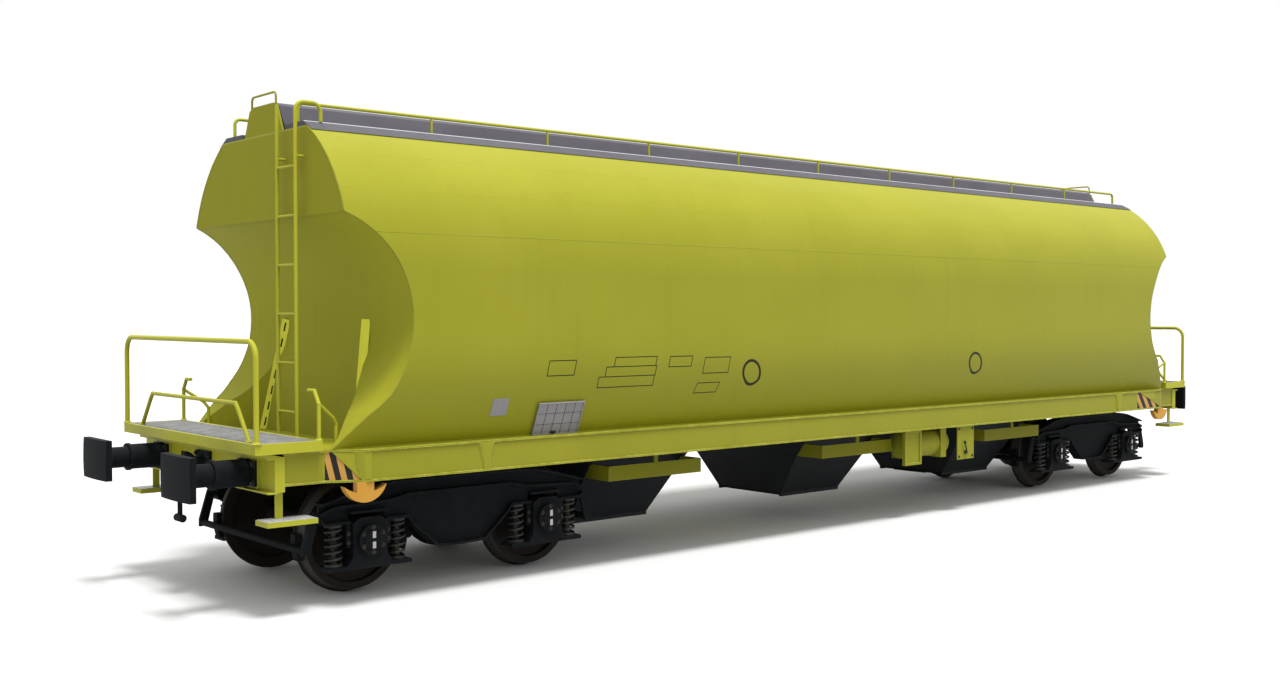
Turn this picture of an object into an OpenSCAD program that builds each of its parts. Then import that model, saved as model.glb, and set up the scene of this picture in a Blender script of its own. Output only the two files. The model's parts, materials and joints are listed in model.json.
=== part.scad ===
// Four-axle covered hopper car for grain: barrel-sided load box on a side-sill frame,
// three bottom outlets with slide gates, one long roof lid, and two sprung bogies.
// X runs along the car (end A at -X), Y across it, Z up from the wheel flanges' lowest point.

/* [Running gear] */
// Diameter of the wheel tread
wheel_d = 920; // [860:5:960]
// Height of the wheel flange beyond the tread
flange_h = 28; // [26:1:32]
// Distance between the inner faces of the two wheels on an axle
wheel_gap = 1360; // [1357:1:1363]
// Width of the wheel rim
rim_w = 135; // [130:1:140]
// Distance between the two axles of a bogie
bogie_base = 1800; // [1780:10:1900]
// Distance between the two bogie pivots
pivot_span = 10200; // [10000:20:10400]
// Distance between the two journal centres of an axle
journal_span = 2000; // [1980:5:2020]
// Diameter of the axle journal
journal_d = 130; // [120:1:140]
// Outer diameter of a suspension spring
spring_d = 156; // [140:2:164]
// Turns of a suspension spring
spring_turns = 7; // [5:1:8]

/* [Underframe] */
// Length over the buffers
buffer_span = 15100; // [14900:20:15300]
// Length of a buffer
buffer_l = 620; // [600:5:650]
// Height of the buffers above the tread
buffer_h = 1060; // [1040:5:1065]
// Distance between the two buffers of an end
buffer_gap = 1750; // [1740:5:1760]
// Width over the side sills
sill_w = 2910; // [2860:10:2960]
// Height of the top of the side sills
sill_top = 1263; // [1240:1:1290]
// Depth of the side sills
sill_h = 256; // [230:2:270]
// Width over the narrow ends of the frame
frame_end_w = 2600; // [2540:10:2640]

/* [Load box] */
// Width over the load box
box_w = 3000; // [2940:10:3060]
// Length of the load box at its roof
box_l = 12800; // [12600:20:13000]
// Height of the roof sheet
roof_z = 3850; // [3800:5:3880]
// Thickness of a wall with its stiffening
wall = 12; // [8:1:20]
// Height where the upright side turns into the round shoulder
shoulder_z = 2680; // [2600:10:2720]
// Radius of the round shoulder
shoulder_r = 1330; // [1310:5:1360]
// Height of the lengthwise weld seam of the side
seam_z = 2970; // [2900:10:3040]
// Radius of the hollow curve of the end wall
end_curve_r = 920; // [880:5:940]
// Height of the middle of that curve
end_curve_z = 2270; // [2240:5:2300]
// Distance between the outlets
outlet_pitch = 2980; // [2900:10:3040]
// Length of an outlet at its mouth
outlet_l = 970; // [900:10:1000]
// Width of an outlet at its mouth
outlet_w = 1000; // [900:10:1040]
// Height of the outlet mouth
outlet_z = 310; // [300:5:340]

/* [Roof] */
// Width of the loading slot
slot_w = 560; // [500:10:600]
// Width of the lid at its foot
lid_w = 720; // [700:5:740]
// Width of the lid at its top
lid_top_w = 520; // [480:10:560]
// Height of the lid's top above the roof sheet
lid_h = 250; // [230:5:270]
// Distance of the roof rails from the middle
roof_rail_y = 605; // [600:1:620]

/* [Platforms] */
// Height of the platform deck
deck_z = 1345; // [1330:1:1360]
// Width of the platform
deck_w = 2700; // [2640:10:2740]
// Gap between the platform and the foot of the end wall
deck_gap = 90; // [80:5:120]
// Height of the end rail above the deck
end_rail_h = 770; // [700:5:850]
// Diameter of the rail tube
tube_d = 42; // [34:1:48]

/* [Hidden] */
$fn = 64;
ends = [-1, 1];
sides = [-1, 1];
seam_gap = 0.4;
run_gap = 0.5;
ball = 1.08;
eps = 1;

// Running gear
tread_r = wheel_d / 2;
wheel_r = tread_r + flange_h;
axle_z = wheel_r;
pivot_x = pivot_span / 2;
axle_x = bogie_base / 2;
wheel_in = wheel_gap / 2;
wheel_out = wheel_in + rim_w;
axle_r = 80;
hub_r = 130;
journal_r = journal_d / 2;
journal_y = journal_span / 2;
box_half = 155;
box_top = axle_z + 180;
wing_half = 385;
wing_z = axle_z - 235;
wing_t = 32;
spring_x = 290;
spring_wire = 24;
arm_z = axle_z + 137;
horn_gap = 10;
horn_t = 35;
horn_foot = axle_z - 58;
frame_web = 30;
frame_flange = 22;
frame_flange_w = 140;
frame_top = axle_z + 342;
frame_dip = axle_z - 148;
arm_end = 1330;
dip_half = 240;
dip_rise = 10;
arm_in = 530;
arm_run = 60;
arm_step = 75;
brow_out = 700;
brow_in = 520;
transom_half = 230;
transom_foot = axle_z + 72;
bowl_top = frame_top + 30;
bowl_r = 180;
pivot_r = 60;
pivot_foot = transom_foot + 60;
bearer_y = 800;
bearer_top = frame_top + 100;
shoe_gap = 8;
shoe_t = 50;
shoe_w = 78;
shoe_h = 220;
beam_r = 30;
beam_drop = 58;

// Underframe
rail_top = flange_h;
buffer_z = rail_top + buffer_h;
head_x = buffer_span / 2 - buffer_l;
headstock_t = 80;
sill_y = sill_w / 2;
sill_in = sill_y - 205;
sill_foot = sill_top - sill_h;
sill_web = 14;
sill_inset = 12;
sill_flange = 16;
end_y = frame_end_w / 2;
sill_end = head_x - headstock_t;
taper_to = sill_end - 330;
taper_from = taper_to - 300;
corner_r = 135;
floor_t = 12;
floor_y = sill_in - seam_gap;
bolster_half = 200;
bolster_foot = sill_foot - 47;
stub_in = 120;
stub_t = 40;
head_foot = sill_foot - 42;
head_top = sill_top - 48;

// Load box
box_y = box_w / 2;
foot_y = sill_y - 125;
belt_z = sill_top + 407;
shoulder_y = box_y - shoulder_r;
strake_count = 3;
end_x = box_l / 2;
end_foot_x = end_x + 70;
end_curve_x = end_x + 350;
end_knee_z = sill_top + 267;
bay_x = end_x - 400;
bay_rise = 640;
bay_lean = 95;
bay_back_x = end_x - 600;
bay_back_y = foot_y - 620;
bay_side_x = end_x - 10;
bay_side_y = foot_y - 60;
eave_z = roof_z - wall;
outlet_x = [for (i = [-1, 0, 1]) i * outlet_pitch];
outlet_top = sill_top - floor_t;
outlet_top_l = outlet_l + 460;
outlet_top_w = 2 * sill_in - 120;
gate_t = 16;
gate_lip = 14;
gate_gap = 5;
gate_rest = 0.3;
gate_way = [1, 1, -1];
guide_w = 45;

// Roof
lid_t = 8;
lid_z = roof_z + lid_h;
lid_foot = roof_z + 24;
lid_end = end_x - 30;
end_plate_t = 20;
coaming_t = 10;
coaming_h = 20;
hinge_y = lid_w / 2 + 22;
hinge_z = lid_foot + 6;
hinge_pin = 8;
hinge_r = 18;
hinge_count = 7;
hinge_lug = 60;
hinge_ear = 12;
walk_in = hinge_y + hinge_r + 12;
walk_t = 40;
walk_edge = 7;
apron_foot = roof_z - 40;
rail_r = 14;
roof_rail_z = roof_z + 200;
post_count = 11;

// Platforms
deck_front = head_x + 180;
deck_back = end_foot_x + deck_gap;
deck_y = deck_w / 2;
deck_low = sill_top + seam_gap;
deck_edge = 30;
grate_h = 45;
grate_bar = 6;
grate_pitch = 94;
tube_r = tube_d / 2;
slim_r = tube_r * 0.75;
end_rail_z = deck_z + end_rail_h;
bend_r = 130;
ladder_x = end_x + 75;
ladder_in = 420;
ladder_w = 330;
rung_pitch = 400;
rung_r = 11;
stile_r = 16;

// Brake gear
tank_x = 1120;
tank_y = sill_in - 70;
tank_z = sill_foot - 182;
tank_l = 720;
tank_r = 155;

yellow = [0.78, 0.79, 0.16];
black = [0.07, 0.08, 0.09];
grey = [0.55, 0.55, 0.58];
orange = [0.90, 0.60, 0.15];

// General forms

// Extrudes a Y-Z outline along X, centred
module along_x(length) {
    rotate([90, 0, 90]) linear_extrude(length, center = true) children();
}

// Extrudes an X-Z outline along Y, centred
module along_y(length) {
    rotate([90, 0, 0]) linear_extrude(length, center = true) children();
}

// Box from its lowest to its highest corner
module span(low, high) {
    translate(low) cube(high - low);
}

// Round bar between two points
module bar(a, b, r) {
    d = b - a;
    l = norm(d);
    translate(a)
        rotate([0, acos(d[2] / l), atan2(d[1], d[0])])
            cylinder(h = l, r = r);
}

// Round bars through a row of points, with ball corners a little proud of them
module bent_bar(points, r) {
    for (i = [0 : len(points) - 2]) bar(points[i], points[i + 1], r);
    for (i = [1 : len(points) - 2]) translate(points[i]) sphere(r = r * ball);
}

// Upright bow of tube drawn in X and Y, from one foot to the other, with two true quarter bends
module bow(left, right, foot, top, r, bend) {
    for (x = [left, right]) bar([x, foot, 0], [x, top - bend, 0], r);
    bar([left + bend, top, 0], [right - bend, top, 0], r);
    translate([left + bend, top - bend, 0]) rotate([0, 0, 90])
        rotate_extrude(angle = 90) translate([bend, 0]) circle(r = r);
    translate([right - bend, top - bend, 0])
        rotate_extrude(angle = 90) translate([bend, 0]) circle(r = r);
}

// Stands a flat form drawn in X and Y up across the car, at a distance along it
module across(x) {
    translate([x, 0, 0]) rotate([90, 0, 90]) children();
}

// Stands a flat form drawn in X and Y up along the car, at a distance from the middle
module along(y) {
    translate([0, y, 0]) rotate([90, 0, 0]) children();
}

// The same piece at end A as drawn and at end B turned half round
module both_ends() {
    children();
    rotate([0, 0, 180]) children();
}

// The same piece on both sides
module both_sides() {
    for (s = sides) scale_y(s) children();
}

// Mirrors to the +Y side for 1
module scale_y(s) {
    if (s > 0) children();
    else mirror([0, 1, 0]) children();
}

// Underframe

// Plan of a side sill between two distances from the middle, tapering to the frame's ends
module sill_plan(inner, outer, inner_end, outer_end) {
    polygon([
        [-sill_end, inner_end], [-taper_to, inner_end], [-taper_from, inner],
        [taper_from, inner], [taper_to, inner_end], [sill_end, inner_end],
        [sill_end, outer_end], [taper_to, outer_end], [taper_from, outer],
        [-taper_from, outer], [-taper_to, outer_end], [-sill_end, outer_end]
    ]);
}

module side_sill(s) {
    rib_top_r = 62;
    rib_foot_r = 26;
    web_y = sill_y - sill_inset;
    web_end = end_y - sill_inset;
    color(yellow) scale_y(s) {
        for (z = [sill_foot, sill_top - sill_flange])
            translate([0, 0, z]) linear_extrude(sill_flange)
                sill_plan(sill_in, sill_y, sill_in, end_y);
        translate([0, 0, sill_foot]) linear_extrude(sill_h)
            sill_plan(web_y - sill_web, web_y, web_end - sill_web, web_end);
        // rolled corners where the sill narrows, cut off at a slant above the rope hooks
        for (e = ends) intersection() {
            translate([e * taper_from, web_y - corner_r, sill_foot])
                cylinder(h = sill_h, r = corner_r - sill_web / 3);
            along_y(2 * sill_w) scale([e, 1]) polygon([
                [taper_from - corner_r / 4, sill_foot], [taper_from + corner_r / 4, sill_foot],
                [taper_from + corner_r, sill_top], [taper_from - corner_r / 4, sill_top]
            ]);
            span([-sill_end, sill_in, sill_foot], [sill_end, sill_y, sill_top]);
        }
        // rounded pockets of the bolster ends
        for (x = [-pivot_x, pivot_x]) intersection() {
            translate([x, web_y, sill_foot])
                cylinder(h = sill_h, r1 = rib_foot_r, r2 = rib_top_r);
            span([x - rib_top_r, web_y - eps, sill_foot], [x + rib_top_r, sill_y, sill_top]);
        }
    }
}

// End beam with its top flange and the two buffer pads
module headstocks() {
    lip = 60;
    pad = 330;
    pad_t = 18;
    pad_edge = 5;
    color(yellow) both_ends() {
        span([-head_x, -end_y, head_foot], [-sill_end, end_y, head_top]);
        span([-head_x - lip, -end_y, head_top], [-sill_end, end_y, head_top + sill_flange]);
        for (s = sides)
            span([-head_x - pad_t, s * buffer_gap / 2 - pad / 2, head_foot + pad_edge],
                 [-head_x, s * buffer_gap / 2 + pad / 2, head_top - pad_edge]);
    }
}

// Cross beam over a bogie, its pivot and side bearers, and the stub sills to the end beam
module bolsters() {
    plate_r = 150;
    wear = 60;
    color(black) both_ends() translate([-pivot_x, 0, 0]) {
        span([-bolster_half, -sill_in + seam_gap, bolster_foot],
             [bolster_half, sill_in - seam_gap, sill_top - floor_t]);
        translate([0, 0, bowl_top + run_gap]) cylinder(h = bolster_foot - bowl_top, r = plate_r);
        translate([0, 0, pivot_foot]) cylinder(h = bolster_foot - pivot_foot, r = pivot_r);
        for (s = sides) {
            span([-wear, s * bearer_y - wear, bearer_top + run_gap],
                 [wear, s * bearer_y + wear, bolster_foot]);
            span([-(sill_end - pivot_x), s * (stub_in + stub_t / 2) - stub_t / 2, bolster_foot + 20],
                 [-bolster_half, s * (stub_in + stub_t / 2) + stub_t / 2, sill_top - floor_t]);
        }
    }
}

// Floor between the sills, open over the outlets
module floor_sheet() {
    color(yellow) difference() {
        span([-sill_end, -floor_y, sill_top - floor_t], [sill_end, floor_y, sill_top]);
        for (x = outlet_x)
            translate([x, 0, sill_top])
                cube([outlet_top_l - 2 * wall, outlet_top_w - 2 * wall, 4 * floor_t], center = true);
    }
}

// Load box

// Half section of the side from the sill to the seam
module side_profile() {
    polygon([
        [foot_y - wall, sill_top], [foot_y, sill_top], [box_y, belt_z], [box_y, shoulder_z],
        [box_y - wall, shoulder_z], [box_y - wall, belt_z]
    ]);
    shoulder_band(shoulder_z, seam_z);
}

// Band of the round shoulder between two heights
module shoulder_band(low, high) {
    intersection() {
        translate([shoulder_y, shoulder_z]) difference() {
            circle(r = shoulder_r, $fn = 180);
            circle(r = shoulder_r - wall, $fn = 180);
        }
        translate([shoulder_y, low]) square([2 * shoulder_r, high - low]);
    }
}

// Inside of the section, where the end walls stand
module section_inside() {
    gap = wall + seam_gap;
    for (s = sides) scale([s, 1]) {
        polygon([
            [0, sill_top], [foot_y - gap, sill_top], [box_y - gap, belt_z],
            [box_y - gap, shoulder_z], [0, shoulder_z]
        ]);
        intersection() {
            translate([shoulder_y, shoulder_z]) circle(r = shoulder_r - gap, $fn = 180);
            translate([shoulder_y, shoulder_z - eps]) square([2 * shoulder_r, eave_z - shoulder_z + eps]);
        }
        translate([-eps, shoulder_z - eps]) square([shoulder_y + 2 * eps, eave_z - shoulder_z + eps]);
    }
}

// Side view of the load box, drawn in by an inset at its ends: hollow curve over a slanted foot
module end_outline(inset) {
    reach = inset > 0 ? eps : 0;
    curve_r = end_curve_r + inset;
    knee_x = end_curve_x - sqrt(pow(curve_r, 2) - pow(end_curve_z - end_knee_z, 2));
    foot_x = end_foot_x - inset * sqrt(2);
    // the slanted foot runs on a little way into the hollow
    over = 0.36;
    over_x = knee_x - over * (foot_x - knee_x);
    over_z = end_knee_z + over * (end_knee_z - sill_top);
    top_x = end_x - inset;
    difference() {
        for (e = ends) scale([e, 1]) polygon([
            [-eps, sill_top - reach], [foot_x, sill_top - reach], [over_x, over_z], [top_x, over_z],
            [top_x, roof_z + reach], [-eps, roof_z + reach]
        ]);
        for (e = ends) translate([e * end_curve_x, end_curve_z]) circle(r = curve_r, $fn = 180);
    }
}

// Bay for the platform under the hollow of end A, grown by an inset: splayed sides and a leaning back
module end_bay(inset) {
    splay = inset * (bay_side_x - bay_back_x) / (bay_side_y - bay_back_y) + inset;
    high = 1.5;
    intersection() {
        translate([0, 0, sill_top - 2 * eps]) linear_extrude(high * bay_rise) polygon([
            [-2 * end_x, -bay_side_y - inset], [splay - bay_side_x, -bay_side_y - inset],
            [splay - bay_back_x, -bay_back_y - inset], [splay - bay_back_x, bay_back_y + inset],
            [splay - bay_side_x, bay_side_y + inset], [-2 * end_x, bay_side_y + inset]
        ]);
        along_y(2 * box_w) polygon([
            [-3 * end_x, sill_top - 3 * eps], [inset - bay_x, sill_top - 3 * eps],
            [inset - bay_x + high * bay_lean, sill_top + high * bay_rise],
            [-3 * end_x, sill_top + high * bay_rise]
        ]);
    }
}

// The load box between its ends, drawn in by an inset
module end_body(inset) {
    difference() {
        along_y(4 * box_y) end_outline(inset);
        both_ends() end_bay(inset);
    }
}

module side_sheet(s) {
    color(yellow) scale_y(s) intersection() {
        along_x(2 * end_foot_x) side_profile();
        along_y(4 * box_y) end_outline(0);
    }
}

// Height of the foot of a shoulder strake, equally spaced round the shoulder
function strake_z(i) = let (
    low = asin((seam_z - shoulder_z) / shoulder_r),
    high = asin((eave_z - shoulder_z) / shoulder_r)
) shoulder_z + shoulder_r * sin(low + i * (high - low) / strake_count);

// Round shoulder from the seam to the roof, in lengthwise strakes
module shoulder_sheet(s) {
    color(yellow) scale_y(s) for (i = [0 : strake_count - 1]) intersection() {
        along_x(2 * end_x) shoulder_band(strake_z(i) + (i > 0 ? seam_gap : 0), strake_z(i + 1));
        along_y(4 * box_y) end_outline(0);
    }
}

module end_sheet(e) {
    color(yellow) intersection() {
        difference() {
            end_body(0);
            end_body(wall);
            span([e > 0 ? -2 * end_x : 0, -2 * box_y, 0], [e > 0 ? 0 : 2 * end_x, 2 * box_y, 2 * roof_z]);
        }
        along_x(4 * end_x) section_inside();
    }
}

// The two round shoulders as whole discs, grown by a thickness
module shoulder_discs(grow) {
    for (s = sides) translate([s * shoulder_y, shoulder_z]) circle(r = shoulder_r + grow, $fn = 180);
}

// Flat top with the loading slot
module roof_sheet() {
    color(yellow) difference() {
        along_x(2 * end_x) intersection() {
            translate([-box_y, eave_z]) square([box_w, wall]);
            shoulder_discs(0);
        }
        span([-lid_end + 2 * coaming_t, -slot_w / 2, eave_z - eps],
             [lid_end - 2 * coaming_t, slot_w / 2, roof_z + eps]);
    }
}

// Frustum of a hopper between its top and its mouth, drawn in by an inset
module hopper_form(inset) {
    reach = inset > 0 ? eps : 0;
    top_l = outlet_top_l / 2 - inset;
    top_w = outlet_top_w / 2 - inset;
    mouth_l = outlet_l / 2 - inset;
    mouth_w = outlet_w / 2 - inset;
    low = outlet_z - reach;
    high = outlet_top + reach;
    intersection() {
        along_y(2 * outlet_top_w) polygon([[-mouth_l, low], [mouth_l, low], [top_l, high], [-top_l, high]]);
        along_x(2 * outlet_top_l) polygon([[-mouth_w, low], [mouth_w, low], [top_w, high], [-top_w, high]]);
    }
}

// Outlet hopper with the slide guides of its gate under it
module hopper(i) {
    guide_foot = outlet_z - gate_gap - gate_t - gate_rest - gate_lip;
    color(black) translate([outlet_x[i], 0, 0]) {
        difference() {
            hopper_form(0);
            hopper_form(wall);
        }
        for (s = sides) scale_y(s) difference() {
            span([-outlet_l / 2, outlet_w / 2 - guide_w, guide_foot], [outlet_l / 2, outlet_w / 2, outlet_z]);
            span([-outlet_l, 0, guide_foot + gate_lip],
                 [outlet_l, outlet_w / 2 - guide_w / 3, outlet_z - eps]);
            span([-outlet_l, 0, guide_foot - eps],
                 [outlet_l, outlet_w / 2 - 2 * guide_w / 3, outlet_z + eps]);
        }
    }
}

// Slide gate in its guides, with a rolled pull edge
module gate(i) {
    half_w = outlet_w / 2 - guide_w / 3 - gate_gap;
    low = outlet_z - gate_gap - gate_t;
    edge_r = 14;
    color(black) translate([outlet_x[i], 0, 0]) {
        span([-outlet_l / 2, -half_w, low], [outlet_l / 2, half_w, low + gate_t]);
        translate([gate_way[i] * (outlet_l / 2 + edge_r - 2), 0, low + gate_t / 2])
            rotate([90, 0, 0]) cylinder(h = outlet_w / 2, r = edge_r, center = true);
    }
}

// Guard frames round the outlets' working gear, hung from the sills and cut to the slope of the hoppers
module gate_frames() {
    bar_t = 20;
    low = sill_foot - 243;
    high = low + 138;
    half_l = outlet_l / 2 + 105;
    out_y = sill_in - 50;
    in_y = outlet_w / 2 + 100;
    hanger = 45;
    color(yellow) for (x = outlet_x, s = sides) scale_y(s) translate([x, 0, 0]) {
        span([-half_l, out_y - bar_t, low], [half_l, out_y, high]);
        for (e = ends) difference() {
            span([e * (half_l - bar_t / 2) - bar_t / 2, in_y, low],
                 [e * (half_l - bar_t / 2) + bar_t / 2, out_y, high]);
            hopper_form(-seam_gap);
        }
        span([-hanger / 2, out_y - bar_t, low], [hanger / 2, out_y, sill_foot]);
        span([-hanger / 2, out_y - bar_t, sill_foot - bar_t], [hanger / 2, sill_in + hanger, sill_foot]);
    }
}

// Roof fittings

// Walks along the eaves, each with an apron that follows the round shoulder
module walkways() {
    color(grey) both_sides() along_x(2 * end_x) {
        intersection() {
            shoulder_discs(walk_edge);
            translate([walk_in, roof_z]) square([box_y, walk_t]);
        }
        difference() {
            intersection() {
                shoulder_discs(walk_edge);
                translate([walk_in, apron_foot]) square([box_y, roof_z + eps - apron_foot]);
            }
            shoulder_discs(seam_gap);
        }
    }
}

// Long low rails beside the lid
module roof_rails() {
    foot = roof_z + walk_t;
    last = end_x - 20;
    step = 2 * last / (post_count - 1);
    color(yellow) both_sides() {
        along(roof_rail_y) bow(-last, last, foot, roof_rail_z, rail_r, 50);
        for (i = [1 : post_count - 2]) translate([-last + i * step, roof_rail_y, foot])
            cylinder(h = roof_rail_z - foot, r = rail_r * 0.8);
    }
}

// Low frame round the slot, its two raised end plates with grab hoops, and the lid's hinge pins
module hatch_coaming() {
    hoop_r = end_plate_t / 2;
    hoop_y = lid_top_w / 2 - 3 * hoop_r;
    hoop_z = lid_z + 90;
    hoop_bend = 40;
    color(yellow) {
        difference() {
            span([-lid_end + coaming_t, -slot_w / 2 - coaming_t, roof_z],
                 [lid_end - coaming_t, slot_w / 2 + coaming_t, roof_z + coaming_h]);
            span([-lid_end + 2 * coaming_t, -slot_w / 2, roof_z - eps],
                 [lid_end - 2 * coaming_t, slot_w / 2, roof_z + coaming_h + eps]);
        }
        for (e = ends) {
            translate([e * (end_x - hoop_r), 0, 0]) along_x(end_plate_t) lid_section(0, roof_z);
            across(e * (end_x - hoop_r))
                bow(-hoop_y, hoop_y, lid_z - 2 * hoop_r, hoop_z, hoop_r * 0.9, hoop_bend);
        }
        for (i = [0 : hinge_count - 1]) translate([hinge_at(i), 0, 0]) {
            for (e = ends) translate([e * (hinge_lug / 2 + hinge_ear / 2 + gate_gap), 0, 0])
                along_x(hinge_ear) hinge_ear_outline();
            translate([0, hinge_y, hinge_z]) rotate([0, 90, 0])
                cylinder(h = hinge_lug + 2 * gate_gap + hinge_ear, r = hinge_pin, center = true);
        }
    }
}

function hinge_at(i) = (i - (hinge_count - 1) / 2) * (2 * lid_end - 600) / (hinge_count - 1);

module hinge_ear_outline() {
    translate([hinge_y, hinge_z]) circle(r = hinge_r);
    translate([hinge_y - hinge_r, roof_z]) square([2 * hinge_r, hinge_z - roof_z]);
}

// Section of the lid above a foot height, drawn in by an inset
module lid_section(inset, foot) {
    crown = 30;
    polygon([
        [-lid_w / 2 + inset, foot], [lid_w / 2 - inset, foot],
        [lid_top_w / 2 - inset, lid_z - crown - inset], [lid_top_w / 2 - inset - 60, lid_z - inset],
        [-lid_top_w / 2 + inset + 60, lid_z - inset], [-lid_top_w / 2 + inset, lid_z - crown - inset]
    ]);
}

// Long roof lid with its cross ribs and hinge lugs
module hatch_lid() {
    rib_count = 9;
    rib_t = 8;
    length = 2 * (end_x - end_plate_t - gate_gap);
    color(grey) {
        along_x(length) difference() {
            lid_section(0, lid_foot);
            lid_section(lid_t, lid_foot - eps);
        }
        for (i = [0 : rib_count - 1])
            translate([(i - (rib_count - 1) / 2) * (length - rib_t) / (rib_count - 1), 0, 0])
                along_x(rib_t) lid_section(lid_t / 2, lid_foot + 30);
        for (i = [0 : hinge_count - 1]) translate([hinge_at(i), 0, 0])
            along_x(hinge_lug) difference() {
                union() {
                    translate([hinge_y, hinge_z]) circle(r = hinge_r);
                    translate([lid_w / 2 - lid_t / 2, lid_foot])
                        square([hinge_y - lid_w / 2 + lid_t / 2, hinge_z - lid_foot + hinge_r - lid_t / 2]);
                }
                translate([hinge_y, hinge_z]) circle(r = hinge_pin + run_gap);
            }
    }
}

// End fittings

// Upright ladder from the platform to the roof walk
module ladders() {
    foot = sill_top;
    head = roof_z + walk_t;
    reach = 150;
    color(yellow) both_ends() {
        // the stile beside the lid ends upright, clear of the lid as it swings
        bar([-ladder_x, -ladder_in, foot], [-ladder_x, -ladder_in, head + reach], stile_r);
        along(-ladder_in - ladder_w) {
            bow(-ladder_x, -end_x + reach, head, head + reach, stile_r, reach / 2);
            bar([-ladder_x, foot, 0], [-ladder_x, head, 0], stile_r);
        }
        for (z = [foot + 260 : rung_pitch : head - 60])
            bar([-ladder_x, -ladder_in, z], [-ladder_x, -ladder_in - ladder_w, z], rung_r);
        // stays from the stiles to the end wall
        for (y = [-ladder_in, -ladder_in - ladder_w], z = [roof_z - 250])
            bar([-ladder_x, y, z], [-end_x - seam_gap, y, z], rung_r);
    }
}

// Edge frame of the platform on its brackets
module platform_frames() {
    bracket = 60;
    bracket_y = deck_y * 2 / 3;
    color(yellow) both_ends() {
        difference() {
            span([-deck_front, -deck_y, deck_low], [-deck_back, deck_y, deck_z]);
            span([-deck_front + deck_edge, -deck_y + deck_edge, deck_low - eps],
                 [-deck_back - deck_edge, deck_y - deck_edge, deck_z + eps]);
        }
        for (y = [-bracket_y, 0, bracket_y]) {
            span([-deck_front + deck_edge - eps, y - bracket / 2, deck_low],
                 [-deck_back - deck_edge + eps, y + bracket / 2, deck_z - grate_h]);
            span([-head_x, y - bracket / 2, head_top + sill_flange],
                 [-sill_end - seam_gap, y + bracket / 2, deck_low + eps]);
        }
    }
}

// Bar grating that lies in the platform frame
module deck_gratings() {
    x0 = -deck_front + deck_edge + seam_gap;
    x1 = -deck_back - deck_edge - seam_gap;
    y1 = deck_y - deck_edge - seam_gap;
    low = deck_z - grate_h;
    cross_count = 5;
    cross_low = 10;
    cross_high = 4;
    color(grey) both_ends() {
        for (y = [-y1 + grate_bar / 2 : grate_pitch : y1])
            span([x0, y - grate_bar / 2, low], [x1, y + grate_bar / 2, deck_z]);
        for (i = [0 : cross_count - 1]) {
            x = x0 + i * (x1 - x0 - grate_bar) / (cross_count - 1);
            span([x, -y1, low + cross_low], [x + grate_bar, y1, deck_z - cross_high]);
        }
    }
}

// End rail of the platform, with its low knee bow
module end_rail(e) {
    rail_x = deck_front - tube_r;
    rail_half = deck_y - 25;
    knee_x = rail_x - 50;
    knee_half = 1090;
    knee_top_half = 850;
    knee_z = deck_z + 285;
    knee_bend = 50;
    color(yellow) rotate([0, 0, e > 0 ? 180 : 0]) {
        across(-rail_x) bow(-rail_half, rail_half, deck_z, end_rail_z, tube_r, bend_r);
        bent_bar([
            [-knee_x, knee_half, deck_z],
            [-knee_x, knee_top_half + knee_bend, knee_z - knee_bend], [-knee_x, knee_top_half, knee_z],
            [-knee_x, -knee_top_half, knee_z], [-knee_x, -knee_top_half - knee_bend, knee_z - knee_bend],
            [-knee_x, -knee_half, deck_z]
        ], tube_r * 0.8);
    }
}

// Bent rails at the platform's inner corners: a post with a grip turned inwards, and a stay to the floor
module side_handrails() {
    post_x = deck_back + deck_edge / 2;
    post_y = deck_y - deck_edge;
    knee_z = deck_z + 282;
    grip_z = deck_z + 380;
    grip_in = 70;
    grip_l = 100;
    leg_x = end_foot_x - 90;
    leg_y = bay_side_y - 45;
    leg_bend = 35;
    leg_z = deck_z + 110;
    color(yellow) both_ends() both_sides() {
        bent_bar([
            [-post_x, post_y, deck_z], [-post_x, post_y, knee_z], [-post_x, post_y - grip_in, grip_z],
            [-post_x, post_y - grip_in - grip_l, grip_z]
        ], slim_r);
        bent_bar([
            [-post_x, post_y, knee_z], [-leg_x - leg_bend, leg_y + leg_bend / 2, leg_z + 1.5 * leg_bend],
            [-leg_x, leg_y, leg_z], [-leg_x, leg_y, sill_top]
        ], slim_r * 0.9);
    }
}

// Slotted angle struts that stand on the floor in the bay and brace the hollow of the end wall
module end_struts() {
    leg = 75;
    t = 10;
    stand_off = 45;
    foot = [-(bay_x + stand_off), bay_back_y + 155, sill_top];
    head = [-(end_curve_x - end_curve_r + stand_off), bay_back_y + 25, end_curve_z + 10];
    lean = head - foot;
    length = norm(lean);
    slot_count = 7;
    slot_w = 16;
    slot_l = 80;
    step = length / slot_count;
    tail = 40;
    color(yellow) both_ends() both_sides() difference() {
        translate(foot)
            rotate([0, acos(lean[2] / length), atan2(lean[1], lean[0])])
                rotate([0, 0, -5]) difference() {
                    union() {
                        translate([0, 0, -tail]) cube([leg, t, length + tail]);
                        translate([0, 0, -tail]) cube([t, leg, length + tail]);
                    }
                    for (i = [0 : slot_count - 1])
                        translate([leg / 2 - slot_w / 2, -eps, step / 4 + i * step])
                            cube([slot_w, t + 2 * eps, slot_l]);
                }
        end_body(-seam_gap);
        span([-end_foot_x, 0, sill_top - 2 * tail], [-bay_back_x, box_y, sill_top]);
    }
}

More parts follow.
